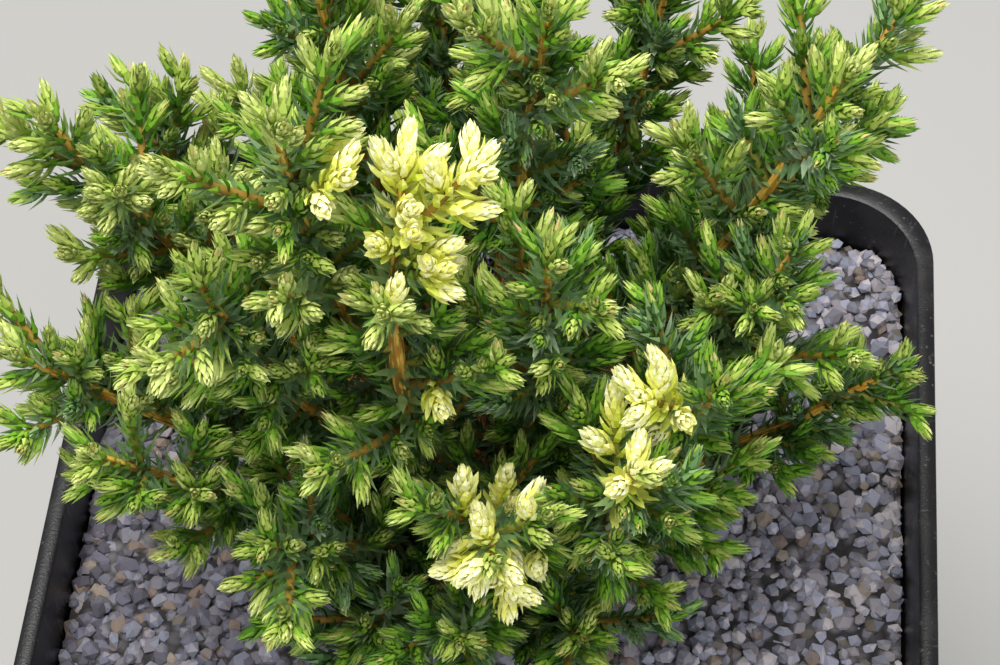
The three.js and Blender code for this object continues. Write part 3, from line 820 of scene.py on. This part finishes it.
def grow_sprigs(spray, crowd, owner, places, lengths, bare):
    """Sprigs set back from a shoot's tip at the golden angle, the nearest in a star round its bud."""
    path, grown = spray.path, []
    seed = path.seed
    for number, (place, length) in enumerate(zip(places, lengths)):
        place *= part_way(SPRIG_SHIFT, chance(seed, 20 + number))
        part = 1 - place / path.length
        if part < LOWEST_SPRIG:
            break
        if bare[0] < part < bare[1]:
            continue
        bends = np.array([chance(seed, 140 + number + k) for k in (0, 50, 90)])
        bend = UP * SPRIG_UPTURN + SPRIG_BEND_VARIATION * (bends - 0.5)
        wander = SPRIG_LEAN_VARIATION * (chance(seed, 60 + number) - 0.5)
        lean = turn(SPRIG_LEAN + min(place, SPRIG_LEAN_LIMIT) * SPRIG_LEAN_PER_MM + wander)
        for attempt in range(TRIES):
            angle = turn(GOLDEN_ANGLE * number + SPRIG_NEXT[0] * attempt + 360 * chance(seed, 13))
            size = length * part_way(SPRIG_SIZE, chance(seed, 100 + number)) * (1 - SPRIG_NEXT[1] * attempt)
            direction = leaning(path, part, angle, lean)
            sprig = Shoot(path.at(part), direction, size, seed * 10 + number, bend)
            points = sprig.at(SPRIG_PROBES)
            if has_room(points, SPRIG_RADIUS, crowd, SPRIG_ROOM, owner):
                crowd.add(points, sprig.seed + 0.5)
                ladder = ladder_at(sprig.at(1), sprig.seed, spray.ladder)
                grown.append(Spray(sprig, spray.exposure, ladder, SPRIG))
                break
    return grown


def grow_stem_sprigs(spray, crowd):
    """Sprigs all down a stem, each with its own colours and shade."""
    stem = spray.path
    places, lengths = list(SPRIG_PLACES), list(SPRIG_LENGTHS)
    while places[-1] < stem.length:
        places.append(places[-1] + SPRIG_PITCH_ON_STEM)
        lengths.append(SPRIG_LENGTHS[-1])
    bare = BARE_STRETCHES.get(stem.name, NOT_BARE)
    grown = grow_sprigs(spray, crowd, -stem.seed, places, lengths, bare)
    shades = [part_way(SPRIG_SHADE_ON_STEM, max(1 - place / stem.length, 0)) for place in places]
    return [spray_of(sprig.path, SPRIG, shade) for sprig, shade in zip(grown, shades)]


def grow_sprays(stems):
    """All that bears needles, from the stems to the sprigs. Twigs keep apart from those there before."""
    crowd = Crowd(CROWD_CELL)
    for stem in stems:
        crowd.add(stem.line.at(LIMB_MARKS), -stem.seed)
    shoots = [shoot for stem in stems for shoot in stem.shoots]
    for shoot in shoots:
        crowd.add(shoot.at(SHOOT_MARKS), shoot.seed)
    sprays = [spray_of(stem, STEM) for stem in stems] + [spray_of(shoot, SHOOT) for shoot in shoots]
    sprays += grow_inner_shoots(stems, crowd)
    sprigs = []
    for spray in sprays:
        if spray.wood == STEM:
            sprigs += grow_stem_sprigs(spray, crowd)
        else:
            step = 2 if spray.inner else 1
            places, lengths = SPRIG_PLACES[step - 1::step], SPRIG_LENGTHS[step - 1::step]
            sprigs += grow_sprigs(spray, crowd, spray.path.seed, places, lengths, NOT_BARE)
    return sprays + sprigs


# Needles

KINDS = tuple(NEEDLE_COLOURS)
LADDERS = (GREEN_LADDER, BLUE_LADDER, CREAM_LADDER)
CREAM = LADDERS.index(CREAM_LADDER)
TOP_STEP = len(GREEN_LADDER) - 1


def whorl_places():
    places = [FIRST_WHORL]
    while places[-1] < LONGEST_STEM:
        places.append(places[-1] + float(between(WHORL_GAP, places[-1])))
    return np.array(places)


def tip_level(spray):
    """How far up its ladder of colours a spray's tip is: shoots differ, and their own sprigs a little."""
    seed = spray.path.seed
    shoot_seed = seed // 10 if spray.wood == SPRIG else seed
    if spray.ladder is CREAM_LADDER:
        level = CREAM_LEVEL + CREAM_LEVEL_VARIATION * chance(seed, 38)
    else:
        level = GREEN_LEVEL + SUN_LEVEL * spray.exposure + chance(shoot_seed, 36) - 0.5
        level += SPRIG_LEVEL_VARIATION * (chance(seed, 37) - 0.5)
    return level - INNER_SHADE_DROP if spray.inner else level


def kind_at(ladder, level):
    return ladder[int(np.clip(round(level), 0, TOP_STEP))]


def whorls_on(spray, places, rng):
    """The whorls on a spray: centre, direction, turn, distance from the tip, vigour, level and ladder."""
    path, on_stem = spray.path, spray.wood == STEM
    spacing = part_way(WHORL_SPACING, chance(path.seed, 31))
    back = places * (STEM_LOOSENESS if on_stem else 1) * spacing
    back = back[back < path.length - (NAKED_STEM_FOOT if on_stem else NAKED_FOOT)]
    if on_stem:
        first, last = BARE_STRETCHES.get(path.name, NOT_BARE)
        part = 1 - back / path.length
        loss = np.where((first < part) & (part < last), BARE_LOSS, STEM_LOSS)
        back = back[(back < FULL_TIP) & (loss == STEM_LOSS) | (rng.random(len(back)) > loss)]
    part = 1 - back / path.length
    count = len(back)
    turns = 2 * math.pi * chance(path.seed, 33) + np.arange(count) * math.pi / 3
    turns += rng.normal(0, WHORL_TURN_NOISE, count)
    vigour = (STEM_VIGOUR if on_stem else 1) * part_way(VIGOUR, chance(path.seed, 35))
    ladder = next(number for number, one in enumerate(LADDERS) if one is spray.ladder)
    level = tip_level(spray)
    return path.at(part), path.along(part), turns, back, *(np.full(count, v) for v in (vigour, level, ladder))


def lay_needles(sprays):
    """Every needle's foot, direction, inner side, sizes and kind."""
    rng = np.random.default_rng(7)
    places = whorl_places()
    rows = zip(*(whorls_on(spray, places, rng) for spray in sprays))
    centre, along, turns, back, vigour, level, ladder = (
        np.repeat(np.concatenate(row), 3, axis=0) for row in rows
    )
    count = len(back)
    turns = turns + np.tile([0, 2 * math.pi / 3, 4 * math.pi / 3], count // 3)
    turns += rng.normal(0, TURN_NOISE, count)
    across, other = side_axes(along)
    out = across * np.cos(turns)[:, None] + other * np.sin(turns)[:, None]
    spread = between(NEEDLE_SPREAD, back) + rng.normal(0, SPREAD_NOISE, count) * np.clip(back / 4, 0.4, 1)
    spread = np.radians(spread + np.where(ladder == CREAM, CREAM_SPREAD, 0))
    needle = {
        "foot": centre + out * between(NEEDLE_FOOT, back)[:, None],
        "direction": along * np.cos(spread)[:, None] + out * np.sin(spread)[:, None],
        "inner": along * np.sin(spread)[:, None] - out * np.cos(spread)[:, None],
        "length": between(NEEDLE_LENGTH, back) * vigour * (1 + rng.normal(0, LENGTH_NOISE, count)),
        "width": between(NEEDLE_WIDTH, back) * (1 + rng.normal(0, WIDTH_NOISE, count)),
        "bow": between(NEEDLE_BOW, back) + rng.normal(0, BOW_NOISE, count),
    }
    needle["width"] *= np.where(ladder == CREAM, CREAM_WIDTH, 1)
    level = level - between(GREEN_DROP, back) + rng.normal(0, NEEDLE_LEVEL_VARIATION, count)
    step = np.clip(np.round(level), 0, TOP_STEP).astype(int)
    table = np.array([[KINDS.index(kind) for kind in one] for one in LADDERS])
    is_tan = (back < TAN_BACK) & (rng.random(count) < TAN_SHARE) & (ladder < CREAM) & (level > TAN_LEVEL)
    needle["kind"] = np.where(is_tan, KINDS.index("tan"), table[ladder, step])
    return needle


# A needle's rings of three points: how far along it they are, and their share of its full width
NEEDLE_RINGS = ((0.0, 0.84), (0.3, 1.0))
FULL_NEEDLE_RINGS = ((0.0, 0.74), (0.34, 1.0), (0.7, 0.7))
FULL_KINDS = ("pale", "sallow", "cream", "white")
NEEDLE_KEEL = 0.34
TIP_BOW = 0.6
# Where each face's finish is in the list from needle_finishes
FLANK, SHADED_FOOT, TIP, BAND = range(4)
MOST_NEEDLES = 12000


def needle_shapes(needle, chosen, rings):
    """Awl-shaped needles with three sides: a flat face towards the stem and two that meet in a keel."""
    foot, direction, inner = (needle[name][chosen] for name in ("foot", "direction", "inner"))
    length, width, bow = (needle[name][chosen][:, None] for name in ("length", "width", "bow"))
    side = np.cross(direction, inner)
    points = []
    for place, share in rings:
        centre = foot + direction * length * place - inner * length * bow * 4 * place * (1 - place)
        half = width * share / 2
        points += [centre + side * half, centre - side * half, centre - inner * width * share * NEEDLE_KEEL]
    points.append(foot + direction * length + inner * length * bow * TIP_BOW)
    points = np.stack(points, axis=1)
    quads = []
    for a in range(0, 3 * (len(rings) - 1), 3):
        b, k = a + 1, a + 2
        quads += [[a, a + 3, b + 3, b], [k, k + 3, a + 3, a], [b, b + 3, k + 3, k]]
    a, b, k, tip = (3 * len(rings) + i for i in (-3, -2, -1, 0))
    triangles = [[a, tip, b], [k, tip, a], [b, tip, k], [0, 1, 2]]
    count = len(foot)
    offsets = np.arange(count)[:, None, None] * points.shape[1]
    quad_array = (np.array(quads) + offsets).reshape(-1, 4)
    triangle_array = (np.array(triangles) + offsets).reshape(-1, 3)
    # On each needle's lower part one outer face takes the darker foot colour: a stripe that is partly painted
    # shade between the needles and partly their greener margin. Towards the tip one outer face takes the
    # paler tip colour and the other the flank colour: painted light and painted shade on the keel's two
    # sides.
    quad_slots = np.tile([BAND, SHADED_FOOT, FLANK, BAND, FLANK, FLANK][: len(quads)], count)
    triangle_slots = np.tile([BAND, FLANK, TIP, SHADED_FOOT], count)
    return points.reshape(-1, 3), [quad_array, triangle_array], np.concatenate([quad_slots, triangle_slots])


def make_needles(sprays, foliage_nodes):
    needle = lay_needles(sprays)
    for number, kind in enumerate(KINDS):
        chosen = np.flatnonzero(needle["kind"] == number)
        if len(chosen) == 0:
            continue
        finishes = needle_finishes(kind)
        rings = FULL_NEEDLE_RINGS if kind in FULL_KINDS else NEEDLE_RINGS
        slot = "foliage_cream" if kind in CREAM_KINDS else "foliage_green"
        for piece, part in enumerate(np.array_split(chosen, math.ceil(len(chosen) / MOST_NEEDLES))):
            heap = Heap()
            heap.add(*needle_shapes(needle, part, rings))
            heap.piece(f"needles_{kind}_{piece + 1}", finishes, slot, foliage_nodes)


# Wood

RIDGES = (3, 5, 7, 9, 12)
TRUNK_SIDES, TRUNK_RELIEF = 44, 0.075
BOUGH_SIDES, BOUGH_RELIEF, BOUGH_RING_PITCH = 14, 0.09, 0.8
STEM_SIDES, STEM_RELIEF, STEM_RING_PITCH = 10, 0.08, 1.5
BOUGH_OVERLAP = 0.01
STEM_RADII = ((0, 1.05), (0.5, 0.85), (1, 0.42))
STEM_FOOT, STEM_LAST_RING, STEM_END = -0.02, 0.93, 0.985
BARE_SWELL = 1.22

# Twigs of shoots and of sprigs: sides, radii up to the tip, and the last rings' distances from it
SHOOT_TWIG = (6, (0.68, 0.6, 0.52, 0.42, 0.66), (3.6, 2.1))
SPRIG_TWIG = (3, (0.36, 0.62), (2.0,))
TWIG_NAMES = ("ripened", "turning", "green")
TWIG_COLOURS = ((152, 120, 42), (128, 128, 44), (100, 126, 40))
RIPENED_LENGTH = 13
CORE_BACK = 1.5
TWIG_END_BACK = 0.4


def fibres(turns, along, seed, strength):
    """How far the bark stands out at each turn and place along: long ridges that drift, and flakes."""
    rng = np.random.default_rng(seed)
    raised = np.zeros(np.broadcast(turns, along).shape)
    for ridges in RIDGES:
        phase, drift, size = rng.random(3)
        wave = np.sin(ridges * turns + (drift - 0.5) * 0.5 * along + 6.3 * phase)
        raised += (0.5 + size) / ridges**0.5 * wave
    flakes = np.sin(2 * turns + 0.35 * along + 6.3 * rng.random()) * np.sin(0.9 * along + 6.3 * rng.random())
    return strength * (raised * 0.4 + np.clip(flakes, 0, 1) * 0.5)


def add_wood(heap, centres, alongs, radii, sides, seed, relief, buttress=None, tip=None, slots=0):
    """A limb with the bark's relief, closed by a fan at its foot and by a fan or a point at its tip.

    The grain stored on it is where a point would be on a straight limb, each limb at another place.
    """
    least_along = np.eye(3)[np.abs(alongs.mean(axis=0)).argmin()]
    across = unit(np.cross(alongs, least_along))
    other = np.cross(alongs, across)
    turns = np.arange(sides) / sides * 2 * math.pi
    walked = np.concatenate([[0], np.cumsum(np.linalg.norm(np.diff(centres, axis=0), axis=1))])
    radius = radii[:, None] + fibres(turns[None], walked[:, None], seed, relief) * radii[:, None]
    if buttress is not None:
        radius = radius + buttress[:, None] * np.cos(BUTTRESSES * turns)[None]
        across, other = np.tile([1.0, 0, 0], (len(centres), 1)), np.tile([0, 1.0, 0], (len(centres), 1))
    side = across[:, None] * np.cos(turns)[None, :, None] + other[:, None] * np.sin(turns)[None, :, None]
    points = centres[:, None] + side * radius[..., None]
    around_limb = radii[:, None] * np.ones_like(turns)
    grain = np.stack([
        around_limb * np.cos(turns) + 13.7 * seed % 97,
        around_limb * np.sin(turns) + 5.3 * seed % 89,
        np.broadcast_to(walked[:, None], around_limb.shape),
    ], axis=-1)
    count = len(centres)
    points, grain = points.reshape(-1, 3), grain.reshape(-1, 3)
    end = centres[-1] if tip is None else tip
    points = np.vstack([points, centres[:1], end[None]])
    grain = np.vstack([grain, grain[:1], grain[-1:]])
    around = np.arange(sides)
    after = (around + 1) % sides
    foot_centre, tip_centre = count * sides, count * sides + 1
    last = (count - 1) * sides
    fans = np.concatenate([
        np.stack([np.full(sides, foot_centre), after, around], axis=1),
        np.stack([np.full(sides, tip_centre), last + around, last + after], axis=1),
    ])
    heap.add(points, [ring_faces(count, sides), fans], slots, grain)


def make_trunk(finish):
    """The trunk's bark, with rings half a millimetre apart in the flare and wider above it."""
    heap = Heap()
    flare, stretch = np.linspace(0, 6, 13), np.linspace(7, TRUNK_RISE[-1], 76)
    rise = np.concatenate([flare, stretch])
    centres = trunk_centre(rise + GAP)
    radii, buttress = (np.interp(rise, TRUNK_RISE, sizes) for sizes in (TRUNK_RADIUS, TRUNK_BUTTRESS))
    upright = np.tile(UP, (len(rise), 1))
    add_wood(heap, centres, upright, radii, TRUNK_SIDES, 1, TRUNK_RELIEF, buttress=buttress)
    heap.piece("trunk_bark", [finish], "bark", ["trunk"], smooth=True)


def make_boughs(stems, finish):
    heap = Heap()
    boughs = [stem for stem in stems if stem.start > 0]
    for stem in boughs:
        line, seed = stem.line, 20 + stem.seed
        count = int(line.length * BOUGH_SHARE / BOUGH_RING_PITCH)
        share = np.linspace(0, BOUGH_SHARE + BOUGH_OVERLAP, count)
        radii = np.linspace(BOUGH_FOOT_RADIUS, BOUGH_TIP_RADIUS, count)
        add_wood(heap, line.at(share), line.along(share), radii, BOUGH_SIDES, seed, BOUGH_RELIEF)
    heap.piece("bough_bark", [finish], "bark", ["bough_" + stem.name for stem in boughs], smooth=True)


def make_stems(stems, finish, foliage_nodes):
    """The leafy stems, a little thicker where one is bare."""
    heap = Heap()
    for stem in stems:
        count = int(stem.length / STEM_RING_PITCH)
        part = np.linspace(STEM_FOOT if stem.start else 0, STEM_LAST_RING, count)
        first, last = BARE_STRETCHES.get(stem.name, NOT_BARE)
        swell = np.where((first < part) & (part < last), BARE_SWELL, 1)
        radii, seed = between(STEM_RADII, part) * swell, 80 + stem.seed
        tip = stem.at(STEM_END)
        add_wood(heap, stem.at(part), stem.along(part), radii, STEM_SIDES, seed, STEM_RELIEF, tip=tip)
    heap.piece("stem_bark", [finish], "bark", foliage_nodes, smooth=True)


def make_twigs(sprays, foliage_nodes):
    """Twigs that swell under the bud at their tip, where they take the needles' foot colour with its painted
    shade.
    """
    heap = Heap()
    colours = {f"twig {name}": colour for name, colour in zip(TWIG_NAMES, TWIG_COLOURS)}
    colours |= {f"bud core {kind}": NEEDLE_COLOURS[kind][SHADED_FOOT] for kind in KINDS}
    finishes = [Finish(name, paint(*colour), Roughness=0.6) for name, colour in colours.items()]
    for spray in sprays:
        if spray.wood == STEM:
            continue
        path = spray.path
        level = tip_level(spray) - float(between(GREEN_DROP, CORE_BACK))
        core = len(TWIG_COLOURS) + KINDS.index(kind_at(spray.ladder, level))
        sides, radii, backs = SHOOT_TWIG if spray.wood == SHOOT else SPRIG_TWIG
        colour = "green" if spray.wood == SPRIG else "ripened" if path.length > RIPENED_LENGTH else "turning"
        rings, even = len(radii), len(radii) - len(backs)
        part = np.linspace(0, 1 - backs[0] / path.length, even + 1)[:even]
        part = np.concatenate([part, 1 - np.array(backs) / path.length])
        slots = np.full(sides * (rings + 1), TWIG_NAMES.index(colour))
        slots[sides * (rings - 2): sides * (rings - 1)] = core
        slots[-sides:] = core
        tip = path.at(1 - TWIG_END_BACK / path.length)
        add_wood(heap, path.at(part), path.along(part), np.array(radii), sides, 5, 0, tip=tip, slots=slots)
    heap.piece("twigs", finishes, "bark", foliage_nodes, smooth=True)


# Stones

STONE_COLOURS = (
    (76, 73, 83), (88, 85, 96), (99, 98, 112), (115, 111, 120), (122, 124, 139),
    (143, 137, 144), (152, 153, 171), (182, 175, 180), (122, 106, 96), (104, 97, 88), (142, 129, 117),
)
# The colours up to this one are greys from dark to pale, and those after it are browns
LAST_GREY = 7
GREY_SHARE = 0.84
# The usual grey in the middle of the pot, and how much further on it is with each millimetre to the right:
# painted light, against the shadow the crown casts on the right
MIDDLE_GREY_AND_PAINTED_LIGHT = (3.85, 0.03)
GREY_VARIATION = 1.3
# Faces in another colour: the next grey, or on a brown stone the grey this many places before it
PATCH_SHARE = 0.3
BROWN_PATCH = 5

STONE_PITCH = 2.1
ROW_SHARE = 0.866
STONE_SHIFT = 0.5
TOP_STONES = 1500
STONE_SIZE = (1.1, 2.0)
TOP_STONE_SHARE = 0.85
STONE_LUMPS = (0.74, 1.1)
STONE_STRETCH = (0.72, 1.18)
STONE_FLATNESS = 0.85
STONE_SINK = 0.25
STONE_RISE_VARIATION = 0.25
WALL_CLEARANCE = 0.9
TRUNK_CLEARANCE = 7.2


def ball_net():
    """The 12 points and 20 faces of an even ball."""
    golden = (1 + 5**0.5) / 2
    corners = []
    for a, b in ((1, golden), (1, -golden), (-1, golden), (-1, -golden)):
        corners += [(0, a, b), (a, b, 0), (b, 0, a)]
    corners = unit(np.array(corners, float))
    apart = np.linalg.norm(corners[:, None] - corners[None], axis=-1)
    longest_edge = 1.1
    near = (apart > 0) & (apart < longest_edge)
    faces = []
    for i, j, k in combinations(range(len(corners)), 3):
        if near[i, j] and near[j, k] and near[i, k]:
            face_way = np.cross(corners[j] - corners[i], corners[k] - corners[i])
            faces.append((i, k, j) if np.dot(face_way, corners[i]) < 0 else (i, j, k))
    return corners, np.array(faces)


def inside_width(z):
    return np.interp(
        z,
        [0, BODY_TOP_Z, COLLAR_FOOT_Z, POT_HEIGHT],
        [BASE_WIDTH, BODY_TOP_WIDTH, COLLAR_FOOT_WIDTH, COLLAR_TOP_WIDTH],
    ) - 2 * WALL


def grit_bed_tree():
    """The part's own grit as a tree of faces, to lay the stones on."""
    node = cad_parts["grit"]
    points = [node.matrix_world @ vertex.co for vertex in node.data.vertices]
    return BVHTree.FromPolygons(points, [tuple(face.vertices) for face in node.data.polygons])


def ground_at(bed, x, y):
    """How high the grit is here, from a ray sent down on it."""
    hit = bed.ray_cast(Vector((x * MM, y * MM, 1)), Vector((0, 0, -1)))[0]
    return hit.z / MM if hit else GRIT_EDGE_Z


def kept_inside(x, y, edge, margin):
    """The place moved off the pot's wall and out of its rounded corners."""
    x, y = np.clip([x, y], -edge + margin, edge - margin)
    radius = 2 * edge * CORNER_SHARE
    middle = np.copysign(edge - radius, [x, y])
    out = np.array([x, y]) - middle
    if (out * middle > 0).all() and np.linalg.norm(out) > radius - margin:
        x, y = middle + unit(out) * (radius - margin)
    return x, y


def stone_slots(x, count, rng):
    """A stone's finish on each face. Stones are a little paler to the right, where x is greater: painted
    light against the crown's shadow there.
    """
    if rng.random() < GREY_SHARE:
        middle = MIDDLE_GREY_AND_PAINTED_LIGHT[0] + MIDDLE_GREY_AND_PAINTED_LIGHT[1] * x
        grey = int(np.clip(rng.normal(middle, GREY_VARIATION), 0, LAST_GREY))
        return np.clip(grey + (rng.random(count) < PATCH_SHARE), 0, LAST_GREY)
    brown = rng.integers(LAST_GREY + 1, len(STONE_COLOURS))
    return np.where(rng.random(count) < PATCH_SHARE, brown - BROWN_PATCH, brown)


def make_stones():
    """Crushed stones, laid close with smaller ones on top of them."""
    rng = np.random.default_rng(23)
    ball, faces = ball_net()
    edge = inside_width(GRIT_EDGE_Z) / 2
    bed = grit_bed_tree()
    places = []
    for row in range(int(2 * edge / (STONE_PITCH * ROW_SHARE)) + 1):
        for column in range(int(2 * edge / STONE_PITCH) + 1):
            x = -edge + STONE_PITCH * (column + 0.5 * (row % 2)) + rng.normal(0, STONE_SHIFT)
            y = -edge + STONE_PITCH * ROW_SHARE * row + rng.normal(0, STONE_SHIFT)
            places.append((x, y, 0.0))
    for _ in range(TOP_STONES):
        places.append((*rng.uniform(-edge, edge, 2), 1.0))
    heap = Heap()
    for x, y, lift in places:
        size = rng.uniform(*STONE_SIZE) * (TOP_STONE_SHARE if lift else 1)
        x, y = kept_inside(x, y, edge, size * WALL_CLEARANCE)
        if math.hypot(x, y) < TRUNK_CLEARANCE + size * 0.5:
            continue
        points = ball * rng.uniform(*STONE_LUMPS, (len(ball), 1)) * rng.uniform(*STONE_STRETCH, 3) * size
        axes = np.linalg.qr(rng.normal(0, 1, (3, 3)))[0]
        axes *= np.sign(np.linalg.det(axes))
        points = points @ axes
        points[:, 2] *= STONE_FLATNESS
        z = ground_at(bed, x, y) - STONE_SINK * size + lift + rng.normal(0, STONE_RISE_VARIATION)
        heap.add(points + [x, y, z], [faces], stone_slots(x, len(faces), rng))
    finishes = [
        Finish(f"stone {number + 1}", paint(*colour), Roughness=0.82)
        for number, colour in enumerate(STONE_COLOURS)
    ]
    heap.piece("grit_stones", finishes, "grit")


# Pot

CORNER_STEPS = 14
DRAIN_SIDES = 28
DRAIN_CUT_Z = (-3.0, 5.0)
SHARP_EDGE = 32


def rounded_square(width, z):
    radius = width * CORNER_SHARE
    centre = width / 2 - radius
    ring = []
    for corner in range(4):
        middle = turn(45 + 90 * corner)
        for step in range(CORNER_STEPS + 1):
            angle = turn(90 * corner + 90 * step / CORNER_STEPS)
            ring.append((
                math.copysign(centre, math.cos(middle)) + radius * math.cos(angle),
                math.copysign(centre, math.sin(middle)) + radius * math.sin(angle),
                z,
            ))
    return ring


def outside_width(z):
    return np.interp(z, [0, BODY_TOP_Z], [BASE_WIDTH, BODY_TOP_WIDTH])


def pot_rings():
    """The pot's skin from its underside, up the outside, over the lip and down inside to its floor.

    Each row is a ring: its width and its height, with small steps between rings where an edge is rounded.
    """
    lip = POT_HEIGHT - LIP_THICKNESS
    lip_inside = inside_width(POT_HEIGHT)
    outside = [(BASE_WIDTH - 2.4, 0), (outside_width(0.35) - 0.9, 0.35)]
    outside += [(outside_width(z), z) for z in (1.2, 40, 80, 107.6)]
    return outside + [
        (BODY_TOP_WIDTH + 0.5, 108.15),
        (COLLAR_FOOT_WIDTH - 0.6, 108.9),
        (COLLAR_FOOT_WIDTH, 109.5),
        (COLLAR_TOP_WIDTH - 0.2, lip - 0.4),
        (COLLAR_TOP_WIDTH + 0.3, lip),
        (LIP_WIDTH - 0.7, lip),
        (LIP_WIDTH, lip + 0.45),
        (LIP_WIDTH, POT_HEIGHT - 0.6),
        (LIP_WIDTH - 0.25, POT_HEIGHT - 0.2),
        (LIP_WIDTH - 0.9, POT_HEIGHT),
        (lip_inside + 0.9, POT_HEIGHT),
        (lip_inside + 0.25, POT_HEIGHT - 0.2),
        (lip_inside, POT_HEIGHT - 0.7),
        *[(inside_width(z), z) for z in (118, 112, COLLAR_FOOT_Z, BODY_TOP_Z, 60, 10)],
        (inside_width(3) - 0.6, 3),
        (inside_width(BASE_THICKNESS) - 2.4, BASE_THICKNESS),
    ]


def drain_cutter():
    """Eight round bars through the pot's base, at its corners and its sides."""
    heap = Heap()
    around = np.arange(DRAIN_SIDES)
    turns = around / DRAIN_SIDES * 2 * math.pi
    for side in range(4):
        for (radius, offset), bearing, out in (
            (CORNER_DRAIN, turn(45 + 90 * side), math.sqrt(2)),
            (SIDE_DRAIN, turn(90 * side), 1),
        ):
            x, y = offset * out * math.cos(bearing), offset * out * math.sin(bearing)
            ring = [x + radius * np.cos(turns), y + radius * np.sin(turns)]
            rings = [np.stack([*ring, np.full(DRAIN_SIDES, z)], axis=1) for z in DRAIN_CUT_Z]
            caps = np.stack([around[::-1], around + DRAIN_SIDES])
            heap.add(np.vstack(rings), [ring_faces(2, DRAIN_SIDES), caps])
    return heap


def make_pot(finish):
    """The moulded pot, with its drain holes cut through the base."""
    rings = pot_rings()
    sides = 4 * (CORNER_STEPS + 1)
    points = np.array([rounded_square(width, z) for width, z in rings]).reshape(-1, 3)
    caps = np.stack([np.arange(sides)[::-1], np.arange(sides) + (len(rings) - 1) * sides])
    heap = Heap()
    heap.add(points, [ring_faces(len(rings), sides), caps])
    pot = heap.piece("moulded_pot", [finish], "pot", ["pot"])
    cutter = drain_cutter().piece("drain_cutter", [finish], "pot")
    cut = pot.modifiers.new("drain holes", "BOOLEAN")
    cut.operation, cut.solver, cut.object = "DIFFERENCE", "EXACT", cutter
    cut_mesh = bpy.data.meshes.new_from_object(pot.evaluated_get(bpy.context.evaluated_depsgraph_get()))
    pot.modifiers.clear()
    pot.data = cut_mesh
    bpy.data.objects.remove(cutter)
    pot.data.polygons.foreach_set("use_smooth", np.ones(len(pot.data.polygons), bool))
    pot.data.set_sharp_from_angle(angle=turn(SHARP_EDGE))


# Camera, light and floor

CAMERA_DOWN = turn(55.7)
CAMERA_LEFT = turn(5)
SENSOR_WIDTH = 36
LENS = 90
CLIP = (0.01, 20)

ROOM_COLOUR = (0.97, 0.985, 1, 1)
ROOM_STRENGTH = 0.4
# Lights: name, place, target, size, power and colour
LIGHTS = (
    ("key light", (-0.14, 0.02, 0.86), (0, 0, 0.2), 0.6, 8.9, (1, 0.99, 0.95)),
    ("fill light", (0.45, -0.5, 0.6), (0, 0, 0.18), 0.8, 3.0, (0.97, 0.98, 1)),
)
FLOOR_SIDE = 3.0
FLOOR_BACK = 6.0


def aim(made, direction):
    made.rotation_mode = "QUATERNION"
    made.rotation_quaternion = Vector(direction).to_track_quat("-Z", "Y")


def make_camera():
    camera = bpy.data.cameras.new("camera")
    camera.sensor_width, camera.lens = SENSOR_WIDTH, LENS
    camera.clip_start, camera.clip_end = CLIP
    made = put("camera", camera)
    made.location = CAMERA_PLACE
    level = math.cos(CAMERA_DOWN)
    aim(made, (-math.sin(CAMERA_LEFT) * level, math.cos(CAMERA_LEFT) * level, -math.sin(CAMERA_DOWN)))
    bpy.context.scene.camera = made


def make_light(name, place, target, size, power, colour):
    light = bpy.data.lights.new(name, "AREA")
    light.shape, light.size, light.energy, light.color = "DISK", size, power, colour
    made = put(name, light)
    made.location = place
    aim(made, Vector(target) - Vector(place))


def light_room():
    scene = bpy.context.scene
    world = bpy.data.worlds.new("soft room")
    world.use_nodes = True
    background = world.node_tree.nodes["Background"]
    background.inputs["Color"].default_value = ROOM_COLOUR
    background.inputs["Strength"].default_value = ROOM_STRENGTH
    scene.world = world
    for light in LIGHTS:
        make_light(*light)
    scene.view_settings.view_transform = "Standard"
    scene.view_settings.look = "None"


def make_floor(finish):
    mesh = bpy.data.meshes.new("floor")
    left, right, front = -FLOOR_SIDE, FLOOR_SIDE, -FLOOR_SIDE
    corners = [(left, front, 0), (right, front, 0), (right, FLOOR_BACK, 0), (left, FLOOR_BACK, 0)]
    mesh.from_pydata(corners, [], [(0, 1, 2, 3)])
    mesh.materials.append(finish.material)
    floor = put("floor", mesh)


# Making the plant


def dress_node(name, finish):
    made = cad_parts[name]
    made.data.materials.clear()
    made.data.materials.append(finish.material)


make_camera()
light_room()
make_floor(pale_floor())

make_pot(moulded_plastic())
dress_node("compost", damp_soil())
dress_node("grit", grit_bed())
make_stones()

stems = grow_limbs()
sprays = grow_sprays(stems)
foliage_nodes = ["foliage_" + stem.name for stem in stems]
bark = fibrous_bark("fibrous bark", paint(60, 36, 18), paint(130, 84, 36), paint(198, 156, 92))
young_bark = fibrous_bark("young bark", paint(116, 78, 14), paint(198, 138, 34), paint(244, 206, 96))
make_trunk(bark)
make_boughs(stems, bark)
make_stems(stems, young_bark, foliage_nodes)
make_twigs(sprays, foliage_nodes)
make_needles(sprays, foliage_nodes)
